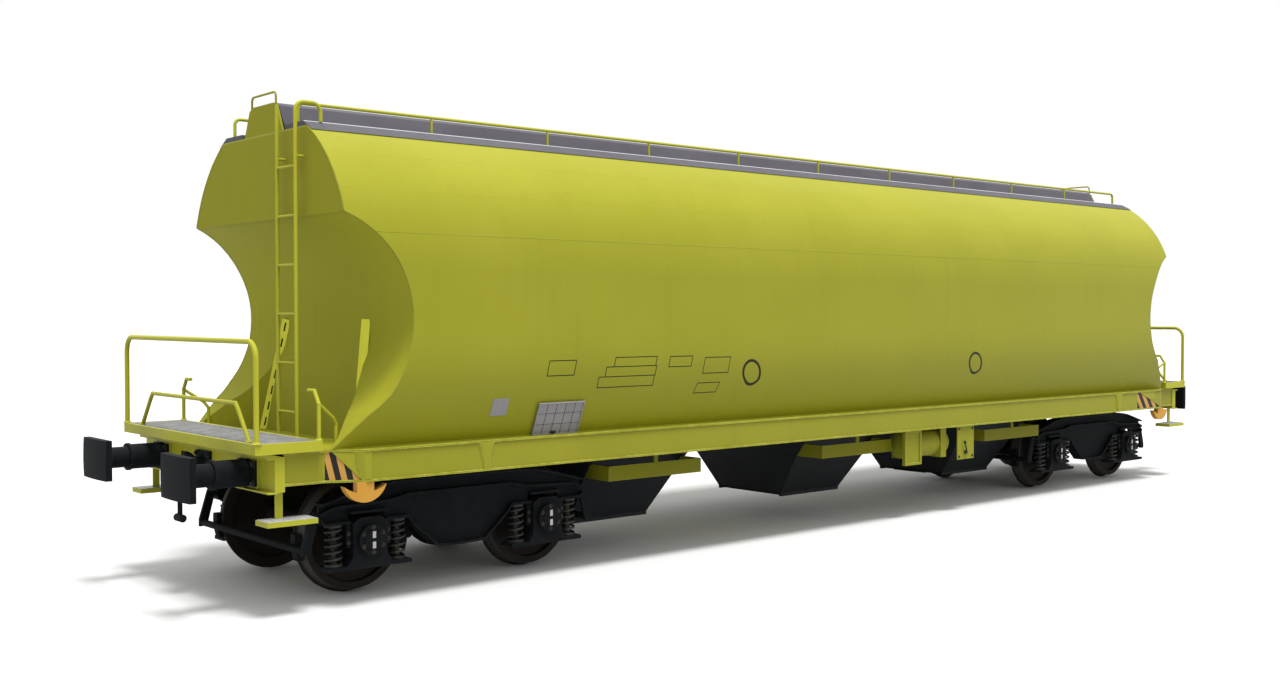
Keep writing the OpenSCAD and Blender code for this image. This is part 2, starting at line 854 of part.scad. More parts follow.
// Shunter's step under each corner: post and tread
module shunter_steps() {
    tread_l = 415;
    tread_ahead = 160;
    tread_in = 55;
    tread_out = 155;
    tread_t = 40;
    tread_z = head_foot - 250;
    post = 60;
    post_t = 14;
    y = end_y - 75;
    x = sill_end + 20;
    color(yellow) both_ends() both_sides() {
        span([-x - post / 2, y, tread_z + tread_t - eps], [-x + post / 2, y + post_t, head_foot]);
        span([-x - tread_ahead, y - tread_in, tread_z],
             [-x - tread_ahead + tread_l, y + tread_out, tread_z + tread_t]);
    }
}

// Anchor-shaped rope hooks under the corners of the sills
module rope_hooks() {
    shank = 150;
    arc_r = 195;
    hollow_r = 307;
    hollow_up = 185;
    hook_t = 62;
    mid_z = sill_foot + 33;
    hook_x = taper_from + 20;
    hook_y = sill_y - sill_inset - hook_t / 2;
    color(orange) both_ends() both_sides() translate([-hook_x, hook_y, 0]) {
        span([-shank / 2, -hook_t / 2, mid_z - arc_r + hook_t], [shank / 2, hook_t / 2, sill_foot]);
        translate([0, 0, mid_z]) along_y(hook_t) difference() {
            circle(r = arc_r, $fn = 96);
            translate([0, hollow_up]) circle(r = hollow_r, $fn = 96);
        }
    }
}

// Buffers: flanged casing, plunger and crowned rectangular head
module buffers() {
    casing_r = 108;
    plunger_r = 90;
    head_w = 550;
    head_h = 340;
    head_t = 70;
    crown_r = 2750;
    pad_t = 18;
    base = head_x + pad_t;
    front = buffer_span / 2;
    color(black) both_ends() for (s = sides) translate([0, s * buffer_gap / 2, buffer_z]) {
        span([-base - 22, -150, -100], [-base, 150, 100]);
        rotate([0, -90, 0]) {
            translate([0, 0, base]) cylinder(h = 300, r = casing_r);
            translate([0, 0, base + 250]) cylinder(h = front - base - 280, r = plunger_r);
            translate([0, 0, base + 290]) cylinder(h = 24, r = casing_r + 10);
        }
        intersection() {
            span([-front, -head_w / 2, -head_h / 2], [-front + head_t, head_w / 2, head_h / 2]);
            translate([-front + crown_r, 0, 0]) sphere(r = crown_r, $fn = 180);
        }
    }
}

// Draw hooks, each with a screw coupling that hangs from its eye
module couplings() {
    hook_t = 60;
    hook_r = 110;
    shank_h = 110;
    throat_r = 42;
    plate = [25, 280, 200];
    eye_x = head_x + 215;
    link_y = 62;
    link_r = 15;
    pin_r = 22;
    nut_r = 32;
    screw_r = 20;
    nut_z = -250;
    foot_z = -440;
    color(black) both_ends() translate([0, 0, buffer_z]) {
        translate([-head_x - plate[0] / 2, 0, 0]) cube(plate, center = true);
        along_y(hook_t) difference() {
            union() {
                translate([-head_x - 190, 0]) circle(r = hook_r);
                translate([-head_x - 190, -shank_h / 2]) square([180, shank_h]);
            }
            translate([-head_x - 202, 32]) circle(r = throat_r);
            translate([-head_x - 190 - hook_r, 32]) square([hook_r, hook_r]);
        }
        // hanging links, nut and screw
        translate([-eye_x, 0, 0]) {
            along(0) cylinder(h = 2 * link_y + 60, r = pin_r, center = true);
            for (s = sides) bar([0, s * link_y, 0], [0, s * link_y, nut_z], link_r);
            translate([0, 0, nut_z]) along(0) cylinder(h = 2 * link_y + 60, r = nut_r, center = true);
            bar([0, 0, nut_z], [0, 0, foot_z], screw_r);
            translate([0, 0, foot_z]) along(0) cylinder(h = 2 * link_y, r = nut_r, center = true);
        }
    }
}

// Blank plates that stand on the sill against each side
module data_plates() {
    plate_w = 500;
    plate_h = 310;
    plate_t = 8;
    from = 4070;
    lean = atan2(box_y - foot_y, belt_z - sill_top);
    color(grey) both_ends() translate([-from - plate_w, -foot_y - 16, sill_top])
        rotate([lean, 0, 0]) translate([0, -plate_t, 4]) cube([plate_w, plate_t, plate_h]);
}

// Brake air tank, with domed ends
module air_tank() {
    dome = 60;
    dome_r = (pow(tank_r, 2) + pow(dome, 2)) / (2 * dome);
    color(yellow) translate([tank_x, -tank_y, tank_z]) rotate([0, 90, 0]) {
        cylinder(h = tank_l, r = tank_r, center = true);
        for (e = ends) intersection() {
            translate([0, 0, e * (tank_l / 2 - dome_r + dome)]) sphere(r = dome_r);
            translate([0, 0, e * tank_l / 2]) cylinder(h = 2 * dome, r = tank_r, center = true);
        }
    }
}

// Cradles under the tank, each hung from the sill by its outer strap
module tank_hangers() {
    strap_w = 100;
    strap_t = 12;
    half = tank_r + strap_t;
    color(yellow) for (e = ends) translate([tank_x + e * tank_l / 3, -tank_y, 0])
        along_x(strap_w) difference() {
            union() {
                translate([-half, tank_z - half]) square([2 * half, half]);
                translate([-half, tank_z - eps]) square([strap_t, sill_foot - tank_z + eps]);
            }
            translate([0, tank_z]) circle(r = tank_r + seam_gap);
        }
}

// Plate that carries the brake change-over handles
module brake_panel() {
    x = tank_x + tank_l / 2 + 60;
    w = 320;
    h = 390;
    t = 12;
    inset = 40;
    color(yellow) {
        span([x, -sill_y + inset, sill_foot - h], [x + w, -sill_y + inset + t, sill_foot]);
        span([x, -sill_y + inset, sill_foot - t], [x + w, -sill_in, sill_foot]);
    }
}

// Bogies

// Side view of half a bogie frame: arm over the springs and the dip between the axles
module frame_half() {
    polygon([
        [0, frame_dip], [dip_half, frame_dip + dip_rise],
        [arm_in - arm_run, arm_z - arm_step], [arm_in, arm_z],
        [axle_x - box_half - horn_gap, arm_z], [axle_x - box_half - horn_gap, arm_z + arm_step],
        [axle_x + box_half + horn_gap, arm_z + arm_step], [axle_x + box_half + horn_gap, arm_z],
        [arm_end - arm_run / 2, arm_z], [arm_end, arm_z + arm_step / 2], [arm_end, arm_z + 1.4 * arm_step],
        [arm_end - 2 * arm_run, arm_z + 2 * arm_step], [brow_out, frame_top - arm_step / 2],
        [brow_in, frame_top], [0, frame_top]
    ]);
}

module frame_outline() {
    for (s = [0, 1]) mirror([s, 0]) frame_half();
}

// Two side frames joined by the transom, with pivot bowl, side bearers and horn guides
module bogie_frame() {
    inner = journal_y - frame_web / 2;
    color(black) difference() {
        union() {
            for (s = sides) translate([0, s * journal_y, 0]) {
                along_y(frame_web) frame_outline();
                along_y(frame_flange_w) difference() {
                    frame_outline();
                    translate([0, frame_flange]) frame_outline();
                }
                along_y(frame_flange_w) difference() {
                    frame_outline();
                    translate([0, -frame_flange]) frame_outline();
                }
                for (e = ends, g = ends)
                    span([e * axle_x + g * (box_half + horn_gap + horn_t / 2) - horn_t / 2, -60, horn_foot],
                         [e * axle_x + g * (box_half + horn_gap + horn_t / 2) + horn_t / 2, 60, arm_z + 20]);
            }
            span([-transom_half, -inner - eps, transom_foot], [transom_half, inner + eps, frame_top - 30]);
            translate([0, 0, frame_top - 40]) cylinder(h = bowl_top - frame_top + 40, r = bowl_r);
            for (s = sides)
                span([-70, s * bearer_y - 80, frame_top - 40], [70, s * bearer_y + 80, bearer_top]);
        }
        translate([0, 0, pivot_foot - 10]) cylinder(h = bowl_top, r = pivot_r + run_gap);
    }
}

// Side view of an axle box: body over two spring wings
module axlebox_outline() {
    polygon([
        [-wing_half, wing_z], [wing_half, wing_z], [wing_half, wing_z + wing_t],
        [205, wing_z + wing_t], [box_half, axle_z - 130], [box_half, axle_z + 140],
        [95, box_top], [-95, box_top], [-box_half, axle_z + 140], [-box_half, axle_z - 130],
        [-205, wing_z + wing_t], [-wing_half, wing_z + wing_t]
    ]);
}

// Four axle boxes bored for the journals, each with a round front cover
module bogie_axleboxes() {
    depth = 190;
    cover_r = 122;
    cover_t = 45;
    cap_r = 78;
    color(black) for (e = ends, s = sides) scale_y(s) difference() {
        union() {
            translate([e * axle_x, journal_y, 0]) {
                along_y(depth) axlebox_outline();
                translate([0, depth / 2 - eps, axle_z]) rotate([-90, 0, 0]) {
                    cylinder(h = cover_t, r = cover_r);
                    cylinder(h = cover_t + 14, r = cap_r);
                }
            }
        }
        translate([e * axle_x, journal_y - depth, axle_z]) rotate([-90, 0, 0])
            cylinder(h = depth + 85, r = journal_r + run_gap);
    }
}

// Coil springs between the wings and the frame arms
module bogie_springs() {
    foot = wing_z + wing_t;
    height = arm_z - foot;
    pitch = (height - spring_wire) / (spring_turns - 1);
    color(black) for (e = ends, g = ends, s = sides)
        translate([e * axle_x + g * spring_x, s * journal_y, foot]) rotate_extrude() {
            square([spring_d / 2 - spring_wire * 0.6, height]);
            for (i = [0 : spring_turns - 1])
                translate([spring_d / 2 - spring_wire / 2, spring_wire / 2 + i * pitch])
                    circle(r = spring_wire / 2, $fn = 24);
        }
}

// Brake beams with a block on each side of every wheel, and the hangers that carry them
module bogie_brakes() {
    shoe_in = tread_r + flange_h / 4 + shoe_gap;
    shoe_y = wheel_out - 15 - shoe_w / 2;
    reach = shoe_in + shoe_t + 10;
    z = axle_z - beam_drop;
    inner_x = axle_x - reach;
    outer_x = axle_x + reach;
    hang_y = wheel_in - 80;
    hang_t = 30;
    frame_in = journal_y - frame_web / 2;
    color(black) for (e = ends) {
        for (d = ends) {
            for (s = sides) translate([e * axle_x, s * shoe_y, axle_z]) intersection() {
                rotate([90, 0, 0]) difference() {
                    cylinder(h = shoe_w, r = shoe_in + shoe_t, center = true);
                    cylinder(h = shoe_w + 2, r = shoe_in, center = true);
                }
                translate([d * shoe_in, 0, -beam_drop]) cube([shoe_in, 2 * shoe_w, shoe_h], center = true);
            }
        }
        translate([e * inner_x, 0, z]) rotate([90, 0, 0])
            cylinder(h = 2 * (wheel_out - 20), r = beam_r, center = true);
        translate([e * outer_x, 0, z]) rotate([90, 0, 0])
            cylinder(h = 2 * frame_in, r = beam_r, center = true);
        for (s = sides) {
            translate([0, s * hang_y, 0]) along_y(hang_t) scale([e, 1]) polygon([
                [transom_half, transom_foot + 10], [transom_half, transom_foot + 80],
                [transom_half + 60, transom_foot + 80], [inner_x + 34, z + 20],
                [inner_x + 34, z - 34], [inner_x - 34, z - 34]
            ]);
            translate([0, s * journal_y, 0]) along_y(frame_web) scale([e, 1]) polygon([
                [arm_end, arm_z + 45], [arm_end, arm_z + 100], [arm_end + 60, arm_z + 100],
                [outer_x + 34, z + 30], [outer_x + 34, z - 34], [outer_x - 34, z - 34]
            ]);
        }
    }
}

// Half of the turned outline of a wheelset: radius and distance from the middle
function wheel_half() = [
    [axle_r, 0], [axle_r, wheel_in - 90], [axle_r + 15, wheel_in - 50], [axle_r + 15, wheel_in - 20],
    [hub_r, wheel_in - 20], [hub_r, wheel_in + 42], [tread_r - 66, wheel_in + 52],
    [tread_r - 66, wheel_in], [wheel_r - 8, wheel_in], [wheel_r, wheel_in + 9],
    [wheel_r, wheel_in + 17], [wheel_r - 9, wheel_in + 26], [tread_r + 3, wheel_in + 34],
    [tread_r, wheel_in + 70], [tread_r - 3, wheel_out - 8], [tread_r - 9, wheel_out],
    [tread_r - 66, wheel_out], [tread_r - 66, wheel_in + 86], [hub_r, wheel_in + 96],
    [hub_r, wheel_in + 158], [axle_r, wheel_in + 158], [axle_r, wheel_in + 178],
    [journal_r, wheel_in + 186], [journal_r, journal_y + 80]
];

// Axle with its two wheels, turned as one
module wheelset() {
    half = wheel_half();
    n = len(half);
    color(black) translate([0, 0, axle_z]) rotate([90, 0, 0]) rotate_extrude($fn = 120)
        polygon(concat(
            [[0, -half[n - 1][1]]],
            [for (i = [n - 1 : -1 : 1]) [half[i][0], -half[i][1]]],
            [for (i = [1 : n - 1]) half[i]],
            [[0, half[n - 1][1]]]
        ));
}

module at_bogie(e) {
    translate([e * pivot_x, 0, 0]) children();
}

side_sill(-1);  // side_sill_right
side_sill(1);  // side_sill_left
headstocks();
bolsters();
floor_sheet();
side_sheet(-1);  // side_sheet_right
side_sheet(1);  // side_sheet_left
shoulder_sheet(-1);  // shoulder_sheet_right
shoulder_sheet(1);  // shoulder_sheet_left
roof_sheet();
end_sheet(-1);  // end_sheet_a
end_sheet(1);  // end_sheet_b
hopper(0);  // hopper_1
hopper(1);  // hopper_2
hopper(2);  // hopper_3
gate_frames();
walkways();
roof_rails();
hatch_coaming();
ladders();
platform_frames();
deck_gratings();
end_rail(-1);  // end_rail_a
end_rail(1);  // end_rail_b
side_handrails();
end_struts();
shunter_steps();
rope_hooks();
buffers();
couplings();
data_plates();
air_tank();
tank_hangers();
brake_panel();
hatch_lid();
gate(0);  // gate_1
gate(1);  // gate_2
gate(2);  // gate_3
at_bogie(-1) bogie_frame();  // bogie_a_frame
at_bogie(-1) bogie_axleboxes();  // bogie_a_axleboxes
at_bogie(-1) bogie_springs();  // bogie_a_springs
at_bogie(-1) bogie_brakes();  // bogie_a_brakes
at_bogie(-1) translate([-axle_x, 0, 0]) wheelset();  // wheelset_a1
at_bogie(-1) translate([axle_x, 0, 0]) wheelset();  // wheelset_a2
at_bogie(1) bogie_frame();  // bogie_b_frame
at_bogie(1) bogie_axleboxes();  // bogie_b_axleboxes
at_bogie(1) bogie_springs();  // bogie_b_springs
at_bogie(1) bogie_brakes();  // bogie_b_brakes
at_bogie(1) translate([-axle_x, 0, 0]) wheelset();  // wheelset_b1
at_bogie(1) translate([axle_x, 0, 0]) wheelset();  // wheelset_b2
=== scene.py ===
# %% [markdown]
# # A covered hopper car, dressed for its portrait
# The solids of the car come in as a fixed frame: every sheet, beam, wheel and lid is already in place and
# in metres. This lesson gives each of them a finish that real paint and steel would have, and adds the
# small things that solids leave out, such as bolts, weld beads, coil springs and grating bars.

# %% Load the frame
import json
import math
import random

import bmesh
import bpy
from mathutils import Matrix, Vector


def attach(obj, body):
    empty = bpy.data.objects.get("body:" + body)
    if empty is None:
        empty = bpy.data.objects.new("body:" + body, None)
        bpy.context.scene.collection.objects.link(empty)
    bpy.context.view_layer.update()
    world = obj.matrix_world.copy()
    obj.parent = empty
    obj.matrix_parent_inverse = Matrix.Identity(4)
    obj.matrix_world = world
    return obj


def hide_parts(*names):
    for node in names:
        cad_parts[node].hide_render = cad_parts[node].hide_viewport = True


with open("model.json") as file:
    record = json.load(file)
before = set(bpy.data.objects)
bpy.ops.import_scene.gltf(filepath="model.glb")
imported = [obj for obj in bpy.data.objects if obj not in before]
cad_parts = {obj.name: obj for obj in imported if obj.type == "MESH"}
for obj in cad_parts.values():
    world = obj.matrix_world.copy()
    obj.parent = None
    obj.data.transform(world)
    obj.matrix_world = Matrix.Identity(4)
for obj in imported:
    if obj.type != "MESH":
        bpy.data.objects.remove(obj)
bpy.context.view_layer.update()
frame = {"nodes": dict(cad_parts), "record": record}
nodes = frame["nodes"]
scene = bpy.context.scene

# %% [markdown]
# ## Where the photographer stood
# A lens of about 37 mm on a full-frame sensor, a little over two metres above the ground, looking along the
# car from its near left corner. The heading and pitch were worked out from the wheels, buffers and sills,
# whose real sizes are known, so the render and the photograph can be laid over each other.

# %% Camera
CAMERA_PLACE = (-11.416, -10.695, 2.325)
CAMERA_HEADING = 49.08
CAMERA_PITCH = -1.31
CAMERA_LENS, SENSOR_WIDTH = 37.37, 36.0
SIGHT_END = 500.0

def add_object(name, data):
    thing = bpy.data.objects.new(name, data)
    scene.collection.objects.link(thing)
    return thing

camera_data = bpy.data.cameras.new("portrait_camera")
camera_data.lens = CAMERA_LENS
camera_data.sensor_width = SENSOR_WIDTH
camera_data.clip_end = SIGHT_END
camera = add_object("portrait_camera", camera_data)
camera.location = CAMERA_PLACE
camera.rotation_euler = (math.radians(90 + CAMERA_PITCH), 0, math.radians(CAMERA_HEADING - 90))
scene.camera = camera
print("camera at", CAMERA_PLACE)

# %% [markdown]
# ## A plain studio
# A pale floor that runs far behind the car, a white surround for even fill light, an overhead light that
# throws the soft shadow beneath the car, and a soft light from the side that the camera sees. The end of the
# car turns away from that light, which is why it reads darker than the side. The two side lights leave the
# floor out, so they can't wash away the shadow, and a small one picks the slotted struts out of the shade of
# the end wall. A plain view transform keeps the yellow as it is.

# %% Floor
FLOOR_SIZE = 240.0
FLOOR_PALE, FLOOR_ROUGH = (0.62, 0.62, 0.62, 1), 0.9

def shader_of(material):
    return material.node_tree.nodes["Principled BSDF"].inputs

def add_floor():
    mesh = bpy.data.meshes.new("studio_floor")
    h = FLOOR_SIZE / 2
    mesh.from_pydata([(-h, -h, 0), (h, -h, 0), (h, h, 0), (-h, h, 0)], [], [(0, 1, 2, 3)])
    floor = add_object("studio_floor", mesh)
    pale = bpy.data.materials.new("floor_pale")
    pale.use_nodes = True
    shader_of(pale)["Base Color"].default_value = FLOOR_PALE
    shader_of(pale)["Roughness"].default_value = FLOOR_ROUGH
    mesh.materials.append(pale)
    return floor

floor = add_floor()
print("floor:", FLOOR_SIZE, "m")

# %% Lights and surround
LAMP_AWAY = 20

def add_light(name, towards, strength, spread, target=None, state="EXCLUDE"):
    data = bpy.data.lights.new(name, "SUN")
    data.energy = strength
    data.angle = math.radians(spread)
    lamp = add_object(name, data)
    lamp.location = LAMP_AWAY * Vector(towards).normalized()
    lamp.rotation_euler = Vector(towards).to_track_quat("Z", "Y").to_euler()
    if target:
        linked = bpy.data.collections.new(name + "_target")
        linked.objects.link(target)
        linked.collection_objects[0].light_linking.link_state = state
        lamp.light_linking.receiver_collection = linked

add_light("overhead", (0.0, -0.26, 0.965), 3.6, 14)
add_light("side_light", (-0.03, -0.50, 0.865), 1.7, 24, floor)
add_light("far_light", (0.10, 0.60, 0.80), 1.4, 24, floor)
add_light("strut_light", (-0.35, -0.92, 0.18), 3.2, 10, nodes["end_struts"], "INCLUDE")

world = bpy.data.worlds.new("studio_surround")
world.use_nodes = True
surround = world.node_tree.nodes["Background"].inputs
surround["Color"].default_value = (1, 1, 1, 1)
surround["Strength"].default_value = 1.0
scene.world = world
scene.view_settings.view_transform = "Standard"
scene.view_settings.look = "None"
print("studio: four lights and a white surround")

# %% [markdown]
# ## Effects that several finishes share
# Paint on a freight car is never one flat colour. A few effects turn up in nearly every finish here, so each
# is a node group with named sockets, built once and placed in each material with its own values: a mottle for
# slow changes of tone, streaks where rain has run down, dust that settles low on the car and on faces that
# look up, painted shade with patchy grime on faces that look down, small chips, pale edges that are partly
# rubbed paint and partly painted highlights, and a soft fold in a rolled sheet. They only put out masks,
# heights and a normal; the shader itself stays in the material.

# %% Node helpers
MIX_SOCKETS = {"VECTOR": (4, 5, 1), "RGBA": (6, 7, 2)}

def feed(tree, value, socket):
    if isinstance(value, (int, float, tuple)):
        socket.default_value = value
    else:
        tree.links.new(value, socket)

def math_node(tree, operation, a, b=None, clamp=False):
    node = tree.nodes.new("ShaderNodeMath")
    node.operation = operation
    node.use_clamp = clamp
    feed(tree, a, node.inputs[0])
    if b is not None:
        feed(tree, b, node.inputs[1])
    return node.outputs[0]

def plus(tree, a, b, clamp=False):
    return math_node(tree, "ADD", a, b, clamp)

def minus(tree, a, b):
    return math_node(tree, "SUBTRACT", a, b)

def times(tree, a, b, clamp=False):
    return math_node(tree, "MULTIPLY", a, b, clamp)

def rest_of(tree, mask):
    return minus(tree, 1.0, mask)

def line_at(tree, value, slope, start):
    return plus(tree, times(tree, value, slope), start)

def vector_node(tree, operation, *vectors):
    node = tree.nodes.new("ShaderNodeVectorMath")
    node.operation = operation
    for socket, vector in zip(node.inputs, vectors):
        tree.links.new(vector, socket)
    return node.outputs

def ramp_mask(tree, value, low, high):
    node = tree.nodes.new("ShaderNodeMapRange")
    node.interpolation_type = "SMOOTHSTEP"
    for label, limit in (("Value", value), ("From Min", low), ("From Max", high)):
        feed(tree, limit, node.inputs[label])
    return node.outputs["Result"]

def mix(tree, mask, a, b, kind="RGBA"):
    node = tree.nodes.new("ShaderNodeMix")
    node.data_type = kind
    first, second, result = MIX_SOCKETS[kind]
    for socket, value in ((0, mask), (first, a), (second, b)):
        feed(tree, value, node.inputs[socket])
    return node.outputs[result]

# %% Place, normal, noise and groups
def object_place(tree):
    return tree.nodes.new("ShaderNodeTexCoord").outputs["Object"]

def face_normal(tree):
    return tree.nodes.new("ShaderNodeNewGeometry").outputs["Normal"]

def axes_of(tree, vector):
    split = tree.nodes.new("ShaderNodeSeparateXYZ")
    tree.links.new(vector, split.inputs[0])
    return split.outputs["X"], split.outputs["Y"], split.outputs["Z"]

def object_axes(tree):
    return axes_of(tree, object_place(tree))

def noise(tree, scale, detail, roughness=0.5, place=None):
    node = tree.nodes.new("ShaderNodeTexNoise")
    where = object_place(tree) if place is None else place
    for label, value in (("Vector", where), ("Scale", scale), ("Detail", detail), ("Roughness", roughness)):
        feed(tree, value, node.inputs[label])
    return node.outputs["Fac"]

def new_group(name, inputs, outputs, kind="NodeSocketFloat"):
    group = bpy.data.node_groups.new(name, "ShaderNodeTree")
    for label, value in inputs.items():
        socket = group.interface.new_socket(label, in_out="INPUT", socket_type="NodeSocketFloat")
        socket.default_value = value
    for label in outputs:
        group.interface.new_socket(label, in_out="OUTPUT", socket_type=kind)
    return group, group.nodes.new("NodeGroupInput").outputs, group.nodes.new("NodeGroupOutput").inputs

# %% Mottle: slow tone and fine grain
def make_mottle():
    group, start, end = new_group("paint_mottle", {"Size": 1.0, "Grain": 400.0}, ["Tone", "Height"])
    group.links.new(noise(group, start["Size"], 4.0, 0.6), end["Tone"])
    group.links.new(noise(group, start["Grain"], 2.0), end["Height"])
    return group

MOTTLE = make_mottle()

# %% Streaks: rain runs drawn out along the height
RUN_STRETCH, RUN_FADE = (1.0, 1.0, 0.07), 0.22

def make_streaks():
    group, start, end = new_group("rain_streaks", {"Density": 9.0, "Cut": 0.55}, ["Mask"])
    stretch = group.nodes.new("ShaderNodeMapping")
    stretch.inputs["Scale"].default_value = RUN_STRETCH
    group.links.new(object_place(group), stretch.inputs["Vector"])
    runs = noise(group, start["Density"], 5.0, 0.65, stretch.outputs["Vector"])
    high = plus(group, start["Cut"], RUN_FADE)
    group.links.new(ramp_mask(group, runs, start["Cut"], high), end["Mask"])
    return group

STREAKS = make_streaks()

# %% Dust: settles low down and on faces that look up
LOOKS_UP, DUST_PATCH = (0.35, 0.95), (0.3, 0.75)

def make_dust():
    group, start, end = new_group("settled_dust", {"Top": 1.3, "Reach": 1.2, "Up Faces": 0.5}, ["Mask"])
    _, _, z = object_axes(group)
    low = minus(group, start["Top"], start["Reach"])
    height = rest_of(group, ramp_mask(group, z, low, start["Top"]))
    _, _, slope = axes_of(group, face_normal(group))
    up = times(group, ramp_mask(group, slope, *LOOKS_UP), start["Up Faces"])
    patchy = ramp_mask(group, noise(group, 5.0, 6.0, 0.7), *DUST_PATCH)
    both = math_node(group, "MAXIMUM", height, up)
    group.links.new(times(group, both, patchy, clamp=True), end["Mask"])
    return group

DUST = make_dust()

# %% Chips: small bare flecks
CHIP_FADE = 0.03

def make_chips():
    group, start, end = new_group("paint_chips", {"Size": 30.0, "Cut": 0.68}, ["Mask"])
    flecks = noise(group, start["Size"], 8.0, 0.75)
    high = plus(group, start["Cut"], CHIP_FADE)
    group.links.new(ramp_mask(group, flecks, start["Cut"], high), end["Mask"])
    return group

CHIPS = make_chips()

# %% Edge wear and painted highlight: paler where the rounded normal and the true one differ
EDGE_SAMPLES, EDGE_TURN, EDGE_PATCH = 4, (0.01, 0.12), (0.35, 0.6)

def make_edge_wear_and_highlight():
    group, start, end = new_group("edge_wear_and_highlight", {"Radius": 0.006, "Grain": 12.0}, ["Mask"])
    rounded = group.nodes.new("ShaderNodeBevel")
    rounded.samples = EDGE_SAMPLES
    group.links.new(start["Radius"], rounded.inputs["Radius"])
    same = vector_node(group, "DOT_PRODUCT", face_normal(group), rounded.outputs["Normal"])["Value"]
    edge = ramp_mask(group, rest_of(group, same), *EDGE_TURN)
    patchy = ramp_mask(group, noise(group, start["Grain"], 4.0, 0.7), *EDGE_PATCH)
    group.links.new(times(group, edge, patchy, clamp=True), end["Mask"])
    return group

EDGE_WEAR_AND_HIGHLIGHT = make_edge_wear_and_highlight()

# %% Underside shade and grime: painted shade, with patchy dirt, on faces that look down
UNDER_PATCH_CHANGE, UNDER_PATCH_LEAST = 0.5, 0.7

def make_under_shade_and_grime():
    group, start, end = new_group("underside_shade_and_grime", {"From": 0.1, "To": 0.38}, ["Mask"])
    _, _, slope = axes_of(group, face_normal(group))
    looks = ramp_mask(group, times(group, slope, -1.0), start["From"], start["To"])
    patchy = line_at(group, noise(group, 2.2, 6.0, 0.65), UNDER_PATCH_CHANGE, UNDER_PATCH_LEAST)
    group.links.new(times(group, looks, patchy, clamp=True), end["Mask"])
    return group

UNDER_SHADE_AND_GRIME = make_under_shade_and_grime()

# %% Rolled belt: a soft fold between the upright side and its flared foot
ROLL_INPUTS = {"Low": 1.38, "High": 2.20, "Foot Out": 0.923, "Foot Down": -0.386}
ROLL_NEAR = 0.8

def make_rolled_belt():
    group, start, end = new_group("rolled_belt", ROLL_INPUTS, ["Normal"], "NodeSocketVector")
    _, y, z = object_axes(group)
    rise = ramp_mask(group, z, start["Low"], start["High"])
    fall = rest_of(group, rise)
    out = plus(group, rise, times(group, fall, start["Foot Out"]))
    join = group.nodes.new("ShaderNodeCombineXYZ")
    group.links.new(times(group, out, math_node(group, "SIGN", y)), join.inputs["Y"])
    group.links.new(times(group, fall, start["Foot Down"]), join.inputs["Z"])
    rolled = vector_node(group, "NORMALIZE", join.outputs[0])["Vector"]
    true = face_normal(group)
    same = vector_node(group, "DOT_PRODUCT", rolled, true)["Value"]
    near = math_node(group, "GREATER_THAN", same, ROLL_NEAR)
    below = math_node(group, "LESS_THAN", z, start["High"])
    group.links.new(mix(group, times(group, near, below), true, rolled, "VECTOR"), end["Normal"])
    return group

ROLLED = make_rolled_belt()
print("groups:", [g.name for g in (MOTTLE, STREAKS, DUST, CHIPS, EDGE_WEAR_AND_HIGHLIGHT, UNDER_SHADE_AND_GRIME, ROLLED)])

# %% [markdown]
# ## Painted steel
# Every painted finish is the same recipe with other values: a base colour that drifts between two close
# tones, streaks, dust, pale edges (partly rubbed paint, partly painted highlights) and chips laid over it as
# masks, and a fine bump for the sprayed surface. One function builds it. Its overlay argument lets a finish
# lay something of its own, such as a warning stripe or bands of painted shade, between the paint and the
# dirt, so that the stripe ages with the rest.

# %% Laying one thing over another
def place_group(tree, group, **values):
    node = tree.nodes.new("ShaderNodeGroup")
    node.node_tree = group
    for key, value in values.items():
        node.inputs[key.replace("_", " ").title()].default_value = value
    return node.outputs

def lay(tree, colour, mask, amount, tone):
    return mix(tree, times(tree, mask, amount), colour, (*tone, 1))

def emboss(material, height, strength, depth, base=None):
    tree = material.node_tree
    relief = tree.nodes.new("ShaderNodeBump")
    relief.inputs["Strength"].default_value = strength
    relief.inputs["Distance"].default_value = depth
    tree.links.new(height, relief.inputs["Height"])
    if base is not None:
        tree.links.new(base, relief.inputs["Normal"])
    tree.links.new(relief.outputs["Normal"], shader_of(material)["Normal"])

# %% Paint recipe
GRAIN, GRAIN_DEPTH, TONE_SPREAD = 260.0, 0.002, (0.3, 0.7)
RUN_DENSITY, RUN_CUT, CHIP_SIZE = 8.0, 0.52, 22.0
DUST_DULLS, TONE_DULLS = 0.35, 0.08

